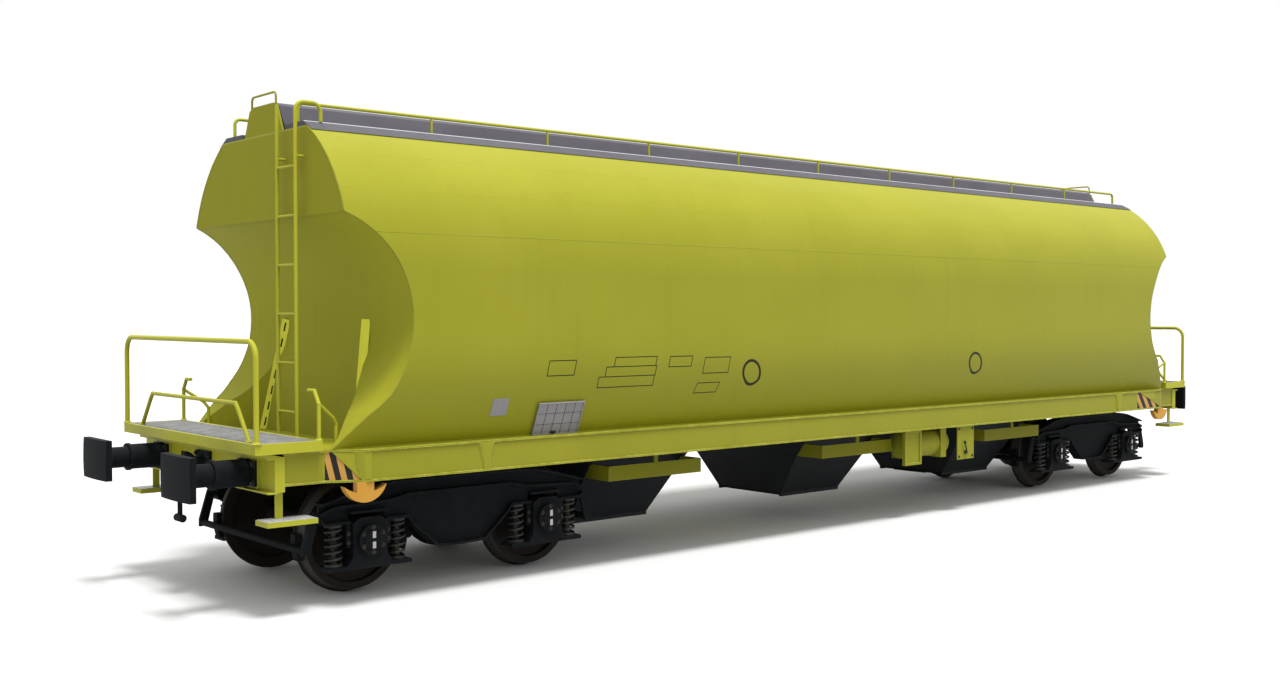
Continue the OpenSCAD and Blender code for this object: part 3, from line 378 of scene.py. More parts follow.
def paint(name, tone_a, tone_b, roughness=0.42, dust=(0.13, 0.117, 0.035), dust_top=1.4, dust_reach=1.3,
          dust_amount=0.5, up=0.4, streak=0.25, streak_tone=(0.1, 0.09, 0.04), chip_cut=0.72,
          chip_tone=(0.04, 0.028, 0.02), edge=0.35, edge_tone=(0.3, 0.3, 0.12), mottle=0.9, bump=0.04,
          specular=0.2, under=0.0, under_tone=(0.02, 0.018, 0.01), overlay=None, rolled=False):
    material = bpy.data.materials.new(name)
    material.use_nodes = True
    tree, shader = material.node_tree, shader_of(material)
    tone = place_group(tree, MOTTLE, Size=mottle, Grain=GRAIN)
    spread = ramp_mask(tree, tone["Tone"], *TONE_SPREAD)
    colour = mix(tree, spread, (*tone_a, 1), (*tone_b, 1))
    if overlay:
        colour = overlay(tree, colour)
    # Pale edges: partly rubbed paint, partly painted highlights along edges that catch the light.
    colour = lay(tree, colour, place_group(tree, EDGE_WEAR_AND_HIGHLIGHT)["Mask"], edge, edge_tone)
    # Painted shade, with patchy grime, on faces that look down.
    if under:
        colour = lay(tree, colour, place_group(tree, UNDER_SHADE_AND_GRIME)["Mask"], under, under_tone)
    runs = place_group(tree, STREAKS, Density=RUN_DENSITY, Cut=RUN_CUT)
    colour = lay(tree, colour, runs["Mask"], streak, streak_tone)
    settled = place_group(tree, DUST, Top=dust_top, Reach=dust_reach, Up_Faces=up)
    dusty = times(tree, settled["Mask"], dust_amount)
    colour = mix(tree, dusty, colour, (*dust, 1))
    flecks = place_group(tree, CHIPS, Size=CHIP_SIZE, Cut=chip_cut)
    colour = mix(tree, flecks["Mask"], colour, (*chip_tone, 1))
    tree.links.new(colour, shader["Base Color"])
    rough = plus(tree, roughness, times(tree, dusty, DUST_DULLS), clamp=True)
    rough = plus(tree, rough, times(tree, spread, TONE_DULLS), clamp=True)
    tree.links.new(rough, shader["Roughness"])
    base = place_group(tree, ROLLED)["Normal"] if rolled else None
    emboss(material, tone["Height"], bump, GRAIN_DEPTH, base)
    shader["Specular IOR Level"].default_value = specular
    return material

# %% [markdown]
# ## The yellow of the load box and frame
# The body colour is a strong yellow with some green in it. The load box is smooth and only a little dirty;
# the frame below it collects more dust, and the pale edges on its flanges are painted highlights. The
# shoulder and side are painted darker lower down, and darker again at the belt at their foot: painted shade.
# The upper half of an end wall is painted a little darker as shade, the gate frames under the sills are
# painted darker for the shade they stand in, and the other gear under the sills is a darker yellow.

# %% Tones and wear of the yellows
YELLOWS = (0.218, 0.217, 0.0130), (0.236, 0.234, 0.0170)
# The pale edge tone is partly rubbed paint and partly painted highlight.
YELLOW_WEAR_AND_EDGE_HIGHLIGHT = dict(up=0.15, streak_tone=(0.13, 0.125, 0.016), edge_tone=(0.36, 0.36, 0.12))
# Painted shade with patchy grime on faces that look down.
UNDERSIDE_SHADE_AND_DIRT = dict(under=0.15, under_tone=(0.070, 0.069, 0.0060))
BOX_WEAR = YELLOW_WEAR_AND_EDGE_HIGHLIGHT | dict(dust_top=2.0, dust_reach=1.0, dust_amount=0.12, streak=0.12, chip_cut=0.77,
                              specular=0.10)
# The strong pale edges on the sill flanges are painted highlights.
SILL_WEAR_AND_EDGE_HIGHLIGHT = YELLOW_WEAR_AND_EDGE_HIGHLIGHT | dict(dust_top=1.25, dust_reach=0.9, dust_amount=0.2, streak=0.14, chip_cut=0.78,
                               edge=0.6, specular=0.12)
GEAR_WEAR = YELLOW_WEAR_AND_EDGE_HIGHLIGHT | dict(dust_top=1.0, dust_reach=0.6, dust_amount=0.14, up=0.12, streak=0.16,
                               chip_cut=0.77, edge=0.5, specular=0.10)
# Each band of painted shade: the heights between which it fades, how much of it there is, and its tone.
PAINTED_SHADE_BANDS = (((2.95, 3.55), 0.36, (0.142, 0.146, 0.0120)), ((1.40, 1.72), 0.6, (0.176, 0.177, 0.0)))
# Painted shade on the upper part of each end wall: where it fades in, how much, and its tone.
UPPER_SHADE_FADE, UPPER_SHADE_AMOUNT, UPPER_SHADE_TONE = (3.09, 3.13), 0.36, (0.130, 0.126, 0.0060)

# Painted shade: darker lower down on the shoulder and side, and again at the belt.
def lay_painted_shade_bands(tree, colour):
    _, _, z = object_axes(tree)
    for fade, amount, tone in PAINTED_SHADE_BANDS:
        colour = lay(tree, colour, rest_of(tree, ramp_mask(tree, z, *fade)), amount, tone)
    return colour

# Painted shade: the upper part of an end wall is darker.
def painted_upper_shade(tree, colour):
    _, _, z = object_axes(tree)
    return lay(tree, colour, ramp_mask(tree, z, *UPPER_SHADE_FADE), UPPER_SHADE_AMOUNT, UPPER_SHADE_TONE)

# %% Plain yellows
# The load box sheets carry the painted shade bands lower down.
body_yellow = paint("body_yellow", *YELLOWS, 0.40, overlay=lay_painted_shade_bands, **BOX_WEAR, **UNDERSIDE_SHADE_AND_DIRT)
side_yellow = paint("side_yellow", *YELLOWS, 0.40, overlay=lay_painted_shade_bands, rolled=True, **BOX_WEAR)
# The end walls carry painted shade on their upper part.
end_yellow = paint("end_yellow", *YELLOWS, 0.6, overlay=painted_upper_shade,
                   **(BOX_WEAR | dict(dust_amount=0.16, chip_cut=0.82, specular=0.05)))
frame_yellow = paint("frame_yellow", (0.268, 0.266, 0.0160), (0.288, 0.285, 0.0205), 0.45,
                     **(SILL_WEAR_AND_EDGE_HIGHLIGHT | UNDERSIDE_SHADE_AND_DIRT | dict(dust_amount=0.22)))
# The gate frames are a darker copy of the frame yellow: painted shade for the shadow under the sills.
gate_painted_shade_yellow = paint("gate_painted_shade_yellow", (0.128, 0.127, 0.0040), (0.142, 0.140, 0.0060), 0.5,
                    **(GEAR_WEAR | dict(dust_amount=0.10, up=0.10, specular=0.08)))
gear_yellow = paint("gear_yellow", (0.180, 0.182, 0.0110), (0.196, 0.197, 0.0145), 0.5, **GEAR_WEAR)
print("yellows:", [m.name for m in bpy.data.materials if m.name.endswith("_yellow")])

# %% [markdown]
# ## Blank frames and rings on the side
# Thin black outlines are painted on the side that faces the camera: boxes for load figures, and two ring
# signs. They are left blank here. Paint has no thickness to speak of, so they are masks in the side's own
# material and not separate pieces: a group measures how far a point is from the outline of a box, and
# another does the same for a ring.

# %% Outline groups
BOX_INPUTS = {"Middle X": 0.0, "Middle Z": 0.0, "Half Width": 0.1, "Half Height": 0.1, "Line": 0.011,
              "Slant": 0.25}
RING_INPUTS = {"Middle X": 0.0, "Middle Z": 0.0, "Radius": 0.1, "Line": 0.012}
LINE_CORE, LINE_HALF = 0.3, 0.5

def outline_mask(tree, away, line):
    core, half = times(tree, line, LINE_CORE), times(tree, line, LINE_HALF)
    return rest_of(tree, ramp_mask(tree, math_node(tree, "ABSOLUTE", away), core, half))

def distance(tree, a, b):
    squares = [math_node(tree, "POWER", v, 2.0) for v in (a, b)]
    return math_node(tree, "SQRT", plus(tree, *squares))

def make_outline(name, inputs):
    group, start, end = new_group(name, inputs, ["Mask"])
    x, _, z = object_axes(group)
    across, rise = minus(group, x, start["Middle X"]), minus(group, z, start["Middle Z"])
    if "Radius" in inputs:
        away = minus(group, distance(group, across, rise), start["Radius"])
    else:
        across = minus(group, across, times(group, rise, start["Slant"]))
        over_x = minus(group, math_node(group, "ABSOLUTE", across), start["Half Width"])
        over_z = minus(group, math_node(group, "ABSOLUTE", rise), start["Half Height"])
        away = math_node(group, "MAXIMUM", over_x, over_z)
    group.links.new(outline_mask(group, away, start["Line"]), end["Mask"])
    return group

BOX_OUTLINE = make_outline("box_outline", BOX_INPUTS)
RING_OUTLINE = make_outline("ring_outline", RING_INPUTS)

# %% Side with its blank frames
BLANK_FRAMES = [(-4.345, 1.850, 0.148, 0.065), (-3.492, 1.887, 0.250, 0.042), (-3.550, 1.801, 0.300, 0.044),
                (-3.611, 1.710, 0.330, 0.047), (-2.935, 1.876, 0.143, 0.048), (-2.465, 1.830, 0.170, 0.075),
                (-2.580, 1.6155, 0.147, 0.048)]
RINGS = [(-1.984, 1.744, 0.118), (1.763, 1.746, 0.118)]
RING_LINE = 0.036
MARK_INK = (0.012, 0.013, 0.004, 1)

def side_marks(tree, colour):
    masks = [place_group(tree, BOX_OUTLINE, Middle_X=x, Middle_Z=z, Half_Width=w, Half_Height=h)["Mask"]
             for x, z, w, h in BLANK_FRAMES]
    masks += [place_group(tree, RING_OUTLINE, Middle_X=x, Middle_Z=z, Radius=r, Line=RING_LINE)["Mask"]
              for x, z, r in RINGS]
    every = masks[0]
    for mask in masks[1:]:
        every = math_node(tree, "MAXIMUM", every, mask)
    # The marks lie over the side's painted shade bands.
    return mix(tree, every, lay_painted_shade_bands(tree, colour), MARK_INK)

marked_yellow = paint("marked_yellow", *YELLOWS, 0.40, overlay=side_marks, rolled=True, **BOX_WEAR)
print("blank frames:", len(BLANK_FRAMES), "rings:", len(RINGS))

# %% [markdown]
# ## Warning stripes on the sill corners
# Both ends of a side sill carry steep black and orange stripes: at one end on the slanting web, outside a
# folded corner plate, and at the other on the flat web, inside it. The far side is taken to be the same car
# turned round, so one length counts from its own end on each side. The stripes are a mask again: the distance
# along the web, sheared by the height, is cut into even bands that only show beside the plate.

# %% Striped sill paint
WEB_LOW, WEB_HIGH, WEB_OUT = 1.024, 1.246, 1.27
# Slanted edge of a corner plate: its slope and start along the car, by height.
OUTER_CUT, INNER_CUT = (0.90, 5.345), (-2.646, 8.950)
OUTER_STRIPES = {"way": -1.0, "beside": "GREATER_THAN", "cut": OUTER_CUT, "reach": (6.262, 6.512),
                 "stretch": -1.126, "shear": -0.23, "pitch": 0.092, "shift": 0.0}
INNER_STRIPES = {"way": 1.0, "beside": "LESS_THAN", "cut": INNER_CUT, "reach": (5.600, 6.250),
                 "stretch": 1.0, "shear": 0.73, "pitch": 0.175, "shift": -0.083}
BAND_EDGE = (0.24, 0.26)
STRIPE_BLACK, STRIPE_ORANGE = (0.012, 0.012, 0.012, 1), (0.36, 0.20, 0.045, 1)

def between(tree, value, low, high):
    above = math_node(tree, "GREATER_THAN", value, low)
    return times(tree, above, math_node(tree, "LESS_THAN", value, high))

def stripe_bands(tree, run, z, bands):
    shear = line_at(tree, z, bands["shear"], bands["shift"])
    along = plus(tree, times(tree, run, bands["stretch"]), shear)
    band = math_node(tree, "FRACT", math_node(tree, "DIVIDE", along, bands["pitch"]))
    dark = ramp_mask(tree, math_node(tree, "ABSOLUTE", minus(tree, band, 0.5)), *BAND_EDGE)
    return mix(tree, dark, STRIPE_ORANGE, STRIPE_BLACK)

def sill_stripes(tree, colour):
    x, y, z = object_axes(tree)
    run = times(tree, x, times(tree, math_node(tree, "SIGN", y), -1.0))
    outside = math_node(tree, "GREATER_THAN", math_node(tree, "ABSOLUTE", y), WEB_OUT)
    web = times(tree, between(tree, z, WEB_LOW, WEB_HIGH), outside)
    for bands in (OUTER_STRIPES, INNER_STRIPES):
        length = times(tree, run, bands["way"])
        free = math_node(tree, bands["beside"], length, line_at(tree, z, *bands["cut"]))
        shown = times(tree, times(tree, between(tree, length, *bands["reach"]), web), free)
        colour = mix(tree, shown, colour, stripe_bands(tree, run, z, bands))
    return colour

# The pale lines along the sill flanges are painted highlights.
striped_yellow = paint("striped_yellow", (0.176, 0.175, 0.0105), (0.192, 0.190, 0.0138), 0.45,
                       overlay=sill_stripes,
                       **(SILL_WEAR_AND_EDGE_HIGHLIGHT | UNDERSIDE_SHADE_AND_DIRT | dict(edge=0.95, edge_tone=(0.58, 0.57, 0.13))))
sill_yellow = paint("sill_yellow", (0.200, 0.199, 0.0120), (0.218, 0.216, 0.0155), 0.45, **SILL_WEAR_AND_EDGE_HIGHLIGHT)
print("stripes every", OUTER_STRIPES["pitch"], "and", INNER_STRIPES["pitch"], "m")

# %% [markdown]
# ## Black, grey, orange and plate finishes
# The running gear is blue-black and dusty, with brown dust low down, and its pale edges are painted
# highlights. The roof fittings are a mid grey with a hint of violet. Hooks are orange and the plates plain
# grey;
# white paint is for small marks, and a pale paint on the walk nosings is a painted highlight.

# %% Blacks and roof greys
# Pale edges on the running gear are painted highlights along the frame flanges.
chassis_black = paint("chassis_black", (0.0042, 0.0052, 0.0060), (0.0072, 0.0086, 0.0098), 0.6,
                      dust=(0.020, 0.018, 0.016), dust_top=0.9, dust_reach=0.9, dust_amount=0.25, streak=0.2,
                      streak_tone=(0.014, 0.013, 0.012), chip_cut=0.8, chip_tone=(0.024, 0.016, 0.011),
                      edge=0.9, edge_tone=(0.030, 0.034, 0.040), mottle=3.0, bump=0.12, specular=0.04)
hopper_black = paint("hopper_black", (0.0068, 0.0080, 0.0098), (0.0105, 0.0125, 0.0148), 0.45,
                     dust=(0.03, 0.028, 0.024), dust_top=0.8, dust_reach=0.6, dust_amount=0.25, streak=0.3,
                     streak_tone=(0.018, 0.017, 0.016), chip_cut=0.8, chip_tone=(0.03, 0.02, 0.015),
                     edge=0.3, edge_tone=(0.022, 0.025, 0.028), mottle=1.6, specular=0.1)
ROOF_GREYS = (0.058, 0.055, 0.064), (0.072, 0.069, 0.079)
ROOF_WEAR = dict(dust=(0.095, 0.091, 0.100), dust_top=0.2, dust_reach=0.1, dust_amount=0.3, up=0.5,
                 streak=0.2, streak_tone=(0.04, 0.039, 0.042), chip_cut=0.8, edge=0.4,
                 edge_tone=(0.13, 0.13, 0.14), specular=0.08)
roof_grey = paint("roof_grey", *ROOF_GREYS, 0.5, **ROOF_WEAR)
walk_grey = paint("walk_grey", *ROOF_GREYS, 0.55,
                  **(ROOF_WEAR | dict(dust_amount=0.4, up=0.7, dust=(0.110, 0.106, 0.116))))

# %% Small paints
hook_orange = paint("hook_orange", (0.36, 0.175, 0.020), (0.40, 0.21, 0.028), 0.45, dust_amount=0.15,
                    streak=0.15, streak_tone=(0.16, 0.08, 0.016), chip_cut=0.74, edge_tone=(0.5, 0.36, 0.15))
plate_grey = paint("plate_grey", (0.175, 0.168, 0.172), (0.21, 0.204, 0.206), 0.55, dust_amount=0.25,
                   streak=0.3, streak_tone=(0.11, 0.095, 0.07), chip_cut=0.74, edge_tone=(0.3, 0.3, 0.3))
mark_white = paint("mark_white", (0.34, 0.34, 0.33), (0.42, 0.42, 0.41), 0.6, dust_amount=0.3, streak=0.3,
                   streak_tone=(0.15, 0.13, 0.1), chip_cut=0.66, edge=0.2)
# Pale paint for the walk nosings: a painted highlight.
nosing_highlight_pale = paint("nosing_highlight_pale", (0.40, 0.41, 0.43), (0.50, 0.51, 0.53), 0.35, dust_top=0.1, dust_reach=0.05,
                  dust_amount=0.2, streak=0.15, streak_tone=(0.25, 0.25, 0.25), chip_cut=0.82, edge=0.2)
print("paints:", len([m for m in bpy.data.materials if m.name != "floor_pale"]))

# %% [markdown]
# ## Studs on the roof walks
# A walk that may be wet needs a rough tread. Round studs in a square pattern are a height made from two
# cosines, one along the car and one across it; it joins the paint's own fine bump.

# %% Stud pattern
STUD_PITCH = 0.045
STUD_EDGE, STUD_STRENGTH, STUD_DEPTH = (1.0, 1.5), 0.6, 0.003

def add_studs(material):
    tree = material.node_tree
    x, y, _ = object_axes(tree)
    turn = 2 * math.pi / STUD_PITCH
    waves = [math_node(tree, "COSINE", times(tree, v, turn)) for v in (x, y)]
    studs = ramp_mask(tree, plus(tree, *waves), *STUD_EDGE)
    grain = shader_of(material)["Normal"].links[0].from_socket
    emboss(material, studs, STUD_STRENGTH, STUD_DEPTH, grain)

add_studs(walk_grey)
print("studs every", STUD_PITCH, "m")

# %% [markdown]
# ## Wheels and bare steel
# A wheel is brown-black from brake dust except for its tread, which the rail keeps bright. All four axles
# lie at the same distance either side of a bogie's middle, so one folded distance serves all of them: the
# radius from the nearest axle says where the tread is, and the metal shows only there.

# %% Bare steels
def bare_steel(name, tone_a, tone_b, roughness, metallic):
    material = paint(name, tone_a, tone_b, roughness, dust_amount=0.2, streak=0.15,
                     streak_tone=tuple(0.6 * v for v in tone_a), chip_cut=0.85, mottle=6.0, bump=0.1,
                     edge_tone=tuple(min(1.0, 1.5 * v) for v in tone_b))
    shader_of(material)["Metallic"].default_value = metallic
    return material

galvanised = bare_steel("galvanised", (0.27, 0.27, 0.275), (0.35, 0.35, 0.35), 0.5, 0.2)
spring_black = bare_steel("spring_black", (0.012, 0.013, 0.015), (0.026, 0.028, 0.030), 0.32, 0.3)
bolt_steel = bare_steel("bolt_steel", (0.012, 0.012, 0.013), (0.024, 0.023, 0.023), 0.5, 0.3)
print("bare steels:", galvanised.name, spring_black.name, bolt_steel.name)

# %% Wheel steel with a bright tread
PIVOT, AXLE, AXLE_Z = 5.1, 0.9, 0.488
TREAD_R, TREAD_Y = (0.449, 0.453), (0.708, 0.720)
TREAD_TONE, TREAD_METAL = (0.060, 0.056, 0.052, 1), 0.6

wheel_steel = paint("wheel_steel", (0.0075, 0.0064, 0.0055), (0.0140, 0.0110, 0.0090), 0.6,
                    dust=(0.030, 0.023, 0.017), dust_top=0.9, dust_reach=0.9, dust_amount=0.35, streak=0.2,
                    streak_tone=(0.035, 0.02, 0.012), chip_cut=0.74, chip_tone=(0.04, 0.02, 0.012),
                    mottle=4.0, bump=0.25, edge_tone=(0.05, 0.042, 0.038), specular=0.12)

def polish_tread(material):
    tree, shader = material.node_tree, shader_of(material)
    x, y, z = object_axes(tree)
    from_pivot = math_node(tree, "ABSOLUTE", minus(tree, math_node(tree, "ABSOLUTE", x), PIVOT))
    radius = distance(tree, minus(tree, from_pivot, AXLE), minus(tree, z, AXLE_Z))
    rolls = ramp_mask(tree, math_node(tree, "ABSOLUTE", y), *TREAD_Y)
    worn = times(tree, ramp_mask(tree, radius, *TREAD_R), rolls)
    brown = shader["Base Color"].links[0].from_socket
    tree.links.new(mix(tree, worn, brown, TREAD_TONE), shader["Base Color"])
    tree.links.new(times(tree, worn, TREAD_METAL), shader["Metallic"])

polish_tread(wheel_steel)
print("tread from", TREAD_R[0], "m out on", wheel_steel.name)

# %% [markdown]
# ## Dressing the solids
# Each solid takes the finish of its record slot. A table from slot to finish keeps that in one place, and a
# second short table names the solids whose finish is a special one of that slot.

# %% Finishes by slot
FINISH = {
    "yellow_paint": frame_yellow,
    "black_paint": chassis_black,
    "grey_paint": roof_grey,
    "galvanised": galvanised,
    "orange_paint": hook_orange,
    "plate_grey": plate_grey,
    "spring_steel": spring_black,
    "wheel_steel": wheel_steel,
}
SPECIAL = {node: finish for finish, names in (
    (body_yellow, ("shoulder_sheet_right", "shoulder_sheet_left", "roof_sheet")),
    (marked_yellow, ("side_sheet_right",)),
    (side_yellow, ("side_sheet_left",)),
    (striped_yellow, ("side_sill_right", "side_sill_left")),
    # The hatch coaming takes the end wall's finish, painted upper shade included.
    (end_yellow, ("end_sheet_a", "end_sheet_b", "hatch_coaming")),
    (hopper_black, ("hopper_1", "hopper_2", "hopper_3")),
    (gate_painted_shade_yellow, ("gate_frames",)),
    (gear_yellow, ("air_tank", "tank_hangers", "brake_panel")),
    (walk_grey, ("walkways",))) for node in names}

def dress(node, material):
    mesh = nodes[node].data
    mesh.materials.clear()
    mesh.materials.append(material)

for part in frame["record"]["subparts"]:
    dress(part["node"], SPECIAL.get(part["node"], FINISH[part["material_slot"]]))

# %% [markdown]
# ## Building small pieces from rings
# Bolts, beads, springs and bars are all the same idea: a ring of points is repeated along a path and joined
# into a skin. A kit collects the points and faces of many small things, so that one object per body and
# finish is enough.

# %% Kit helpers
BOTH = (-1, 1)
ENDS = (("a", -1), ("b", 1))
CORNERS = [(end, side) for end in BOTH for side in BOTH]

def new_kit():
    return {"points": [], "faces": []}

def skin(kit, rings):
    start, n, last = len(kit["points"]), len(rings[0]), len(rings) - 1
    for ring in rings:
        kit["points"].extend(tuple(p) for p in ring)
    for i in range(last):
        a, b = start + i * n, start + (i + 1) * n
        kit["faces"].extend((a + j, a + (j + 1) % n, b + (j + 1) % n, b + j) for j in range(n))
    kit["faces"].append(tuple(start + j for j in reversed(range(n))))
    kit["faces"].append(tuple(start + last * n + j for j in range(n)))

def around(sides):
    angles = [2 * math.pi * j / sides for j in range(sides)]
    return [(math.cos(a), math.sin(a)) for a in angles]

def facing(place, axis):
    turn = Vector(axis).to_track_quat("Z", "Y").to_matrix().to_4x4()
    return Matrix.Translation(Vector(place)) @ turn

def make_piece(name, kit, material, body, sharp=35, stands_for=()):
    mesh = bpy.data.meshes.new(name)
    mesh.from_pydata(kit["points"], [], kit["faces"])
    form = bmesh.new()
    form.from_mesh(mesh)
    bmesh.ops.recalc_face_normals(form, faces=form.faces)
    form.to_mesh(mesh)
    form.free()
    mesh.polygons.foreach_set("use_smooth", [True] * len(mesh.polygons))
    mesh.set_sharp_from_angle(angle=math.radians(sharp))
    mesh.materials.append(material)
    piece = add_object(name, mesh)
    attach(piece, body)
    if stands_for:
        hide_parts(*stands_for)
    print(f"{name}: {len(mesh.polygons)} faces on {body}")

# %% [markdown]
# ## Coil springs
# Each axle box stands on four coil springs, an inner one inside each outer one. In the solids they are
# stacks of rings; here they are true helices, wound with closed ends: the first and last turns lie flat, and
# the pitch opens up between them. The inner coil is wound the other way, as in a real nest, so that the two
# can't lock together.

# %% Wind the springs
SPRING_X, SPRING_Y = 0.29, 1.0
SPRING_FOOT, SPRING_TOP = 0.2855, 0.6245
# Each coil: its radius, the radius of its wire, its turns, its hand and the sides of the wire.
COILS = ((0.0655, 0.0120, 7.2, 1, 8), (0.0400, 0.0075, 9.3, -1, 6))
COIL_STEPS, FLAT_TURNS = 26, 0.85
GUIDE_PIN = [(0.026, 0.0), (0.026, 0.30), (0.018, 0.335)]
SPRING_SEAT = [(0.077, 0.0), (0.077, 0.006), (0.073, 0.009)]
UP, DOWN = (0, 0, 1), (0, 0, -1)

def wind(kit, middle, radius, wire, turns, hand, sides):
    low, high = SPRING_FOOT + wire, SPRING_TOP - wire
    total = int(turns * COIL_STEPS)
    flat = FLAT_TURNS / turns
    rings = []
    for i in range(total + 1):
        t = i / total
        rise = min(max((t - flat) / (1 - 2 * flat), 0.0), 1.0)
        sink = wire * 0.5 * (min(t / flat, 1.0) - min((1 - t) / flat, 1.0))
        angle = hand * 2 * math.pi * turns * t
        out = Vector((math.cos(angle), math.sin(angle), 0))
        z = low + rise * (high - low) + sink * (1 - abs(2 * rise - 1))
        p = Vector((middle[0] + radius * math.cos(angle), middle[1] + radius * math.sin(angle), z))
        rings.append([p + wire * (c * out + Vector((0, 0, s))) for c, s in around(sides)])
    skin(kit, rings)

def turned(kit, place, axis, outline, sides=20):
    stand = facing(place, axis)
    skin(kit, [[stand @ Vector((r * c, r * s, h)) for c, s in around(sides)] for r, h in outline])

def axle_boxes(end):
    return [(end * PIVOT + axle * AXLE, side) for axle in BOTH for side in BOTH]

for letter, end in ENDS:
    kit = new_kit()
    for x, side in axle_boxes(end):
        for g in BOTH:
            middle = (x + g * SPRING_X, side * SPRING_Y)
            for coil in COILS:
                wind(kit, middle, *coil)
            turned(kit, (*middle, SPRING_FOOT), UP, GUIDE_PIN, 14)
            turned(kit, (*middle, SPRING_TOP), DOWN, SPRING_SEAT, 24)
            turned(kit, (*middle, SPRING_FOOT), UP, SPRING_SEAT, 24)
    make_piece(f"coil_springs_{letter}", kit, spring_black, f"bogie_{letter}", 50,
               (f"bogie_{letter}_springs",))

# %% [markdown]
# ## Platform gratings
# The deck of each platform is an open grating: upright flat bars close together, with thin cross rods pressed
# into their tops. The solid grating is coarse, so a fine one stands for it, in the same frame.

# %% Lay the gratings
GRATE_X, GRATE_Y, GRATE_Z = (6.5905, 7.0795), 1.3195, (1.301, 1.345)
BAR_PITCH, BAR_T, BAR_DOWN = 0.0339, 0.004, 0.002
ROD_PITCH, ROD_T, ROD_H = 0.0484, 0.005, 0.012

def block(kit, low, high, chamfer=0.0):
    c = chamfer
    rings = []
    for z, inset in ((low[2], c), (low[2] + c, 0.0), (high[2] - c, 0.0), (high[2], c)):
        x0, y0, x1, y1 = low[0] + inset, low[1] + inset, high[0] - inset, high[1] - inset
        rings.append([(x0, y0, z), (x1, y0, z), (x1, y1, z), (x0, y1, z)])
    skin(kit, rings if c else [rings[0], rings[3]])

def span(side, near, far):
    return sorted((side * near, side * far))

def grating(kit, end):
    x0, x1 = span(end, *GRATE_X)
    bars = round((2 * GRATE_Y - BAR_T) / BAR_PITCH)
    for i in range(bars + 1):
        y = -GRATE_Y + i * (2 * GRATE_Y - BAR_T) / bars
        block(kit, (x0, y, GRATE_Z[0]), (x1, y + BAR_T, GRATE_Z[1] - BAR_DOWN))
    rods = round((x1 - x0 - ROD_T) / ROD_PITCH)
    for i in range(rods + 1):
        x = x0 + i * (x1 - x0 - ROD_T) / rods
        block(kit, (x, -GRATE_Y, GRATE_Z[1] - ROD_H), (x + ROD_T, GRATE_Y, GRATE_Z[1]))

kit = new_kit()
for end in BOTH:
    grating(kit, end)
make_piece("platform_gratings", kit, galvanised, "car_body", 30, ("deck_gratings",))

# %% [markdown]
# ## Weld beads
# Long sheets are joined by welds that stand a few millimetres proud. One runs the length of each side, where
# the upright sheet meets the round shoulder; another follows the hollow edge of each end wall, and a third
# the foot of each side on its sill. A bead is a thin tube whose thickness wavers a little, as a hand weld
# does.

# %% Path of the section and of the end wall
FOOT_Y, BELT_Z, BOX_Y = 1.330, 1.670, 1.500
SHOULDER_Y, SHOULDER_Z, SHOULDER_R = 0.170, 2.680, 1.330
SEAM_Z, SILL_TOP, EAVE_Z = 2.970, 1.263, 3.838
HOLLOW_X, HOLLOW_Z, HOLLOW_R = 6.750, 2.270, 0.920
END_X, END_FOOT_X, KNEE_Z = 6.400, 6.470, 1.530

def half_width(z):
    if z < BELT_Z:
        return FOOT_Y + (BOX_Y - FOOT_Y) * (z - SILL_TOP) / (BELT_Z - SILL_TOP)
    if z < SHOULDER_Z:
        return BOX_Y
    return SHOULDER_Y + math.sqrt(max(SHOULDER_R ** 2 - (z - SHOULDER_Z) ** 2, 0.0))

def hollow(z):
    return HOLLOW_X - math.sqrt(HOLLOW_R ** 2 - (z - HOLLOW_Z) ** 2)

def end_reach(z):
    if z < KNEE_Z:
        return END_FOOT_X + (hollow(KNEE_Z) - END_FOOT_X) * (z - SILL_TOP) / (KNEE_Z - SILL_TOP)
    if abs(z - HOLLOW_Z) >= HOLLOW_R:
        return END_X
    return min(END_X, hollow(z))

print("half width at the seam:", round(half_width(SEAM_Z), 3))
print("end at the waist:", round(end_reach(HOLLOW_Z), 3))

# %% Lay the beads
BEAD_SIDES, BEAD_WAVER = 6, 0.25
LONG_STEPS, END_STEPS = 420, 160
# Each long bead: its reach along the car, half width, height, radius and seed.
LONG_BEADS = ((end_reach(SEAM_Z) - 0.004, half_width(SEAM_Z) - 0.002, SEAM_Z, 0.0042, 3),
              (END_FOOT_X - 0.03, FOOT_Y + 0.001, SILL_TOP + 0.002, 0.0060, 7))
END_BEAD_R, END_BEAD_IN, END_BEAD_SEED = 0.0055, (0.001, 0.011), 11
END_HEIGHTS = [SILL_TOP + 0.01 + i * (EAVE_Z - 0.02 - SILL_TOP) / END_STEPS for i in range(END_STEPS + 1)]

def sweep(kit, points, radius, sides, waver=0.0, seed=0):
    chance = random.Random(seed)
    points = [Vector(p) for p in points]
    rings = []
    side = None
    for i, p in enumerate(points):
        ahead = (points[min(i + 1, len(points) - 1)] - points[max(i - 1, 0)]).normalized()
        if side is None:
            side = ahead.orthogonal().normalized()
        side = (side - ahead * side.dot(ahead)).normalized()
        other = ahead.cross(side)
        r = radius * (1 + waver * (chance.random() - 0.5))
        rings.append([p + r * (c * side + s * other) for c, s in around(sides)])
    skin(kit, rings)

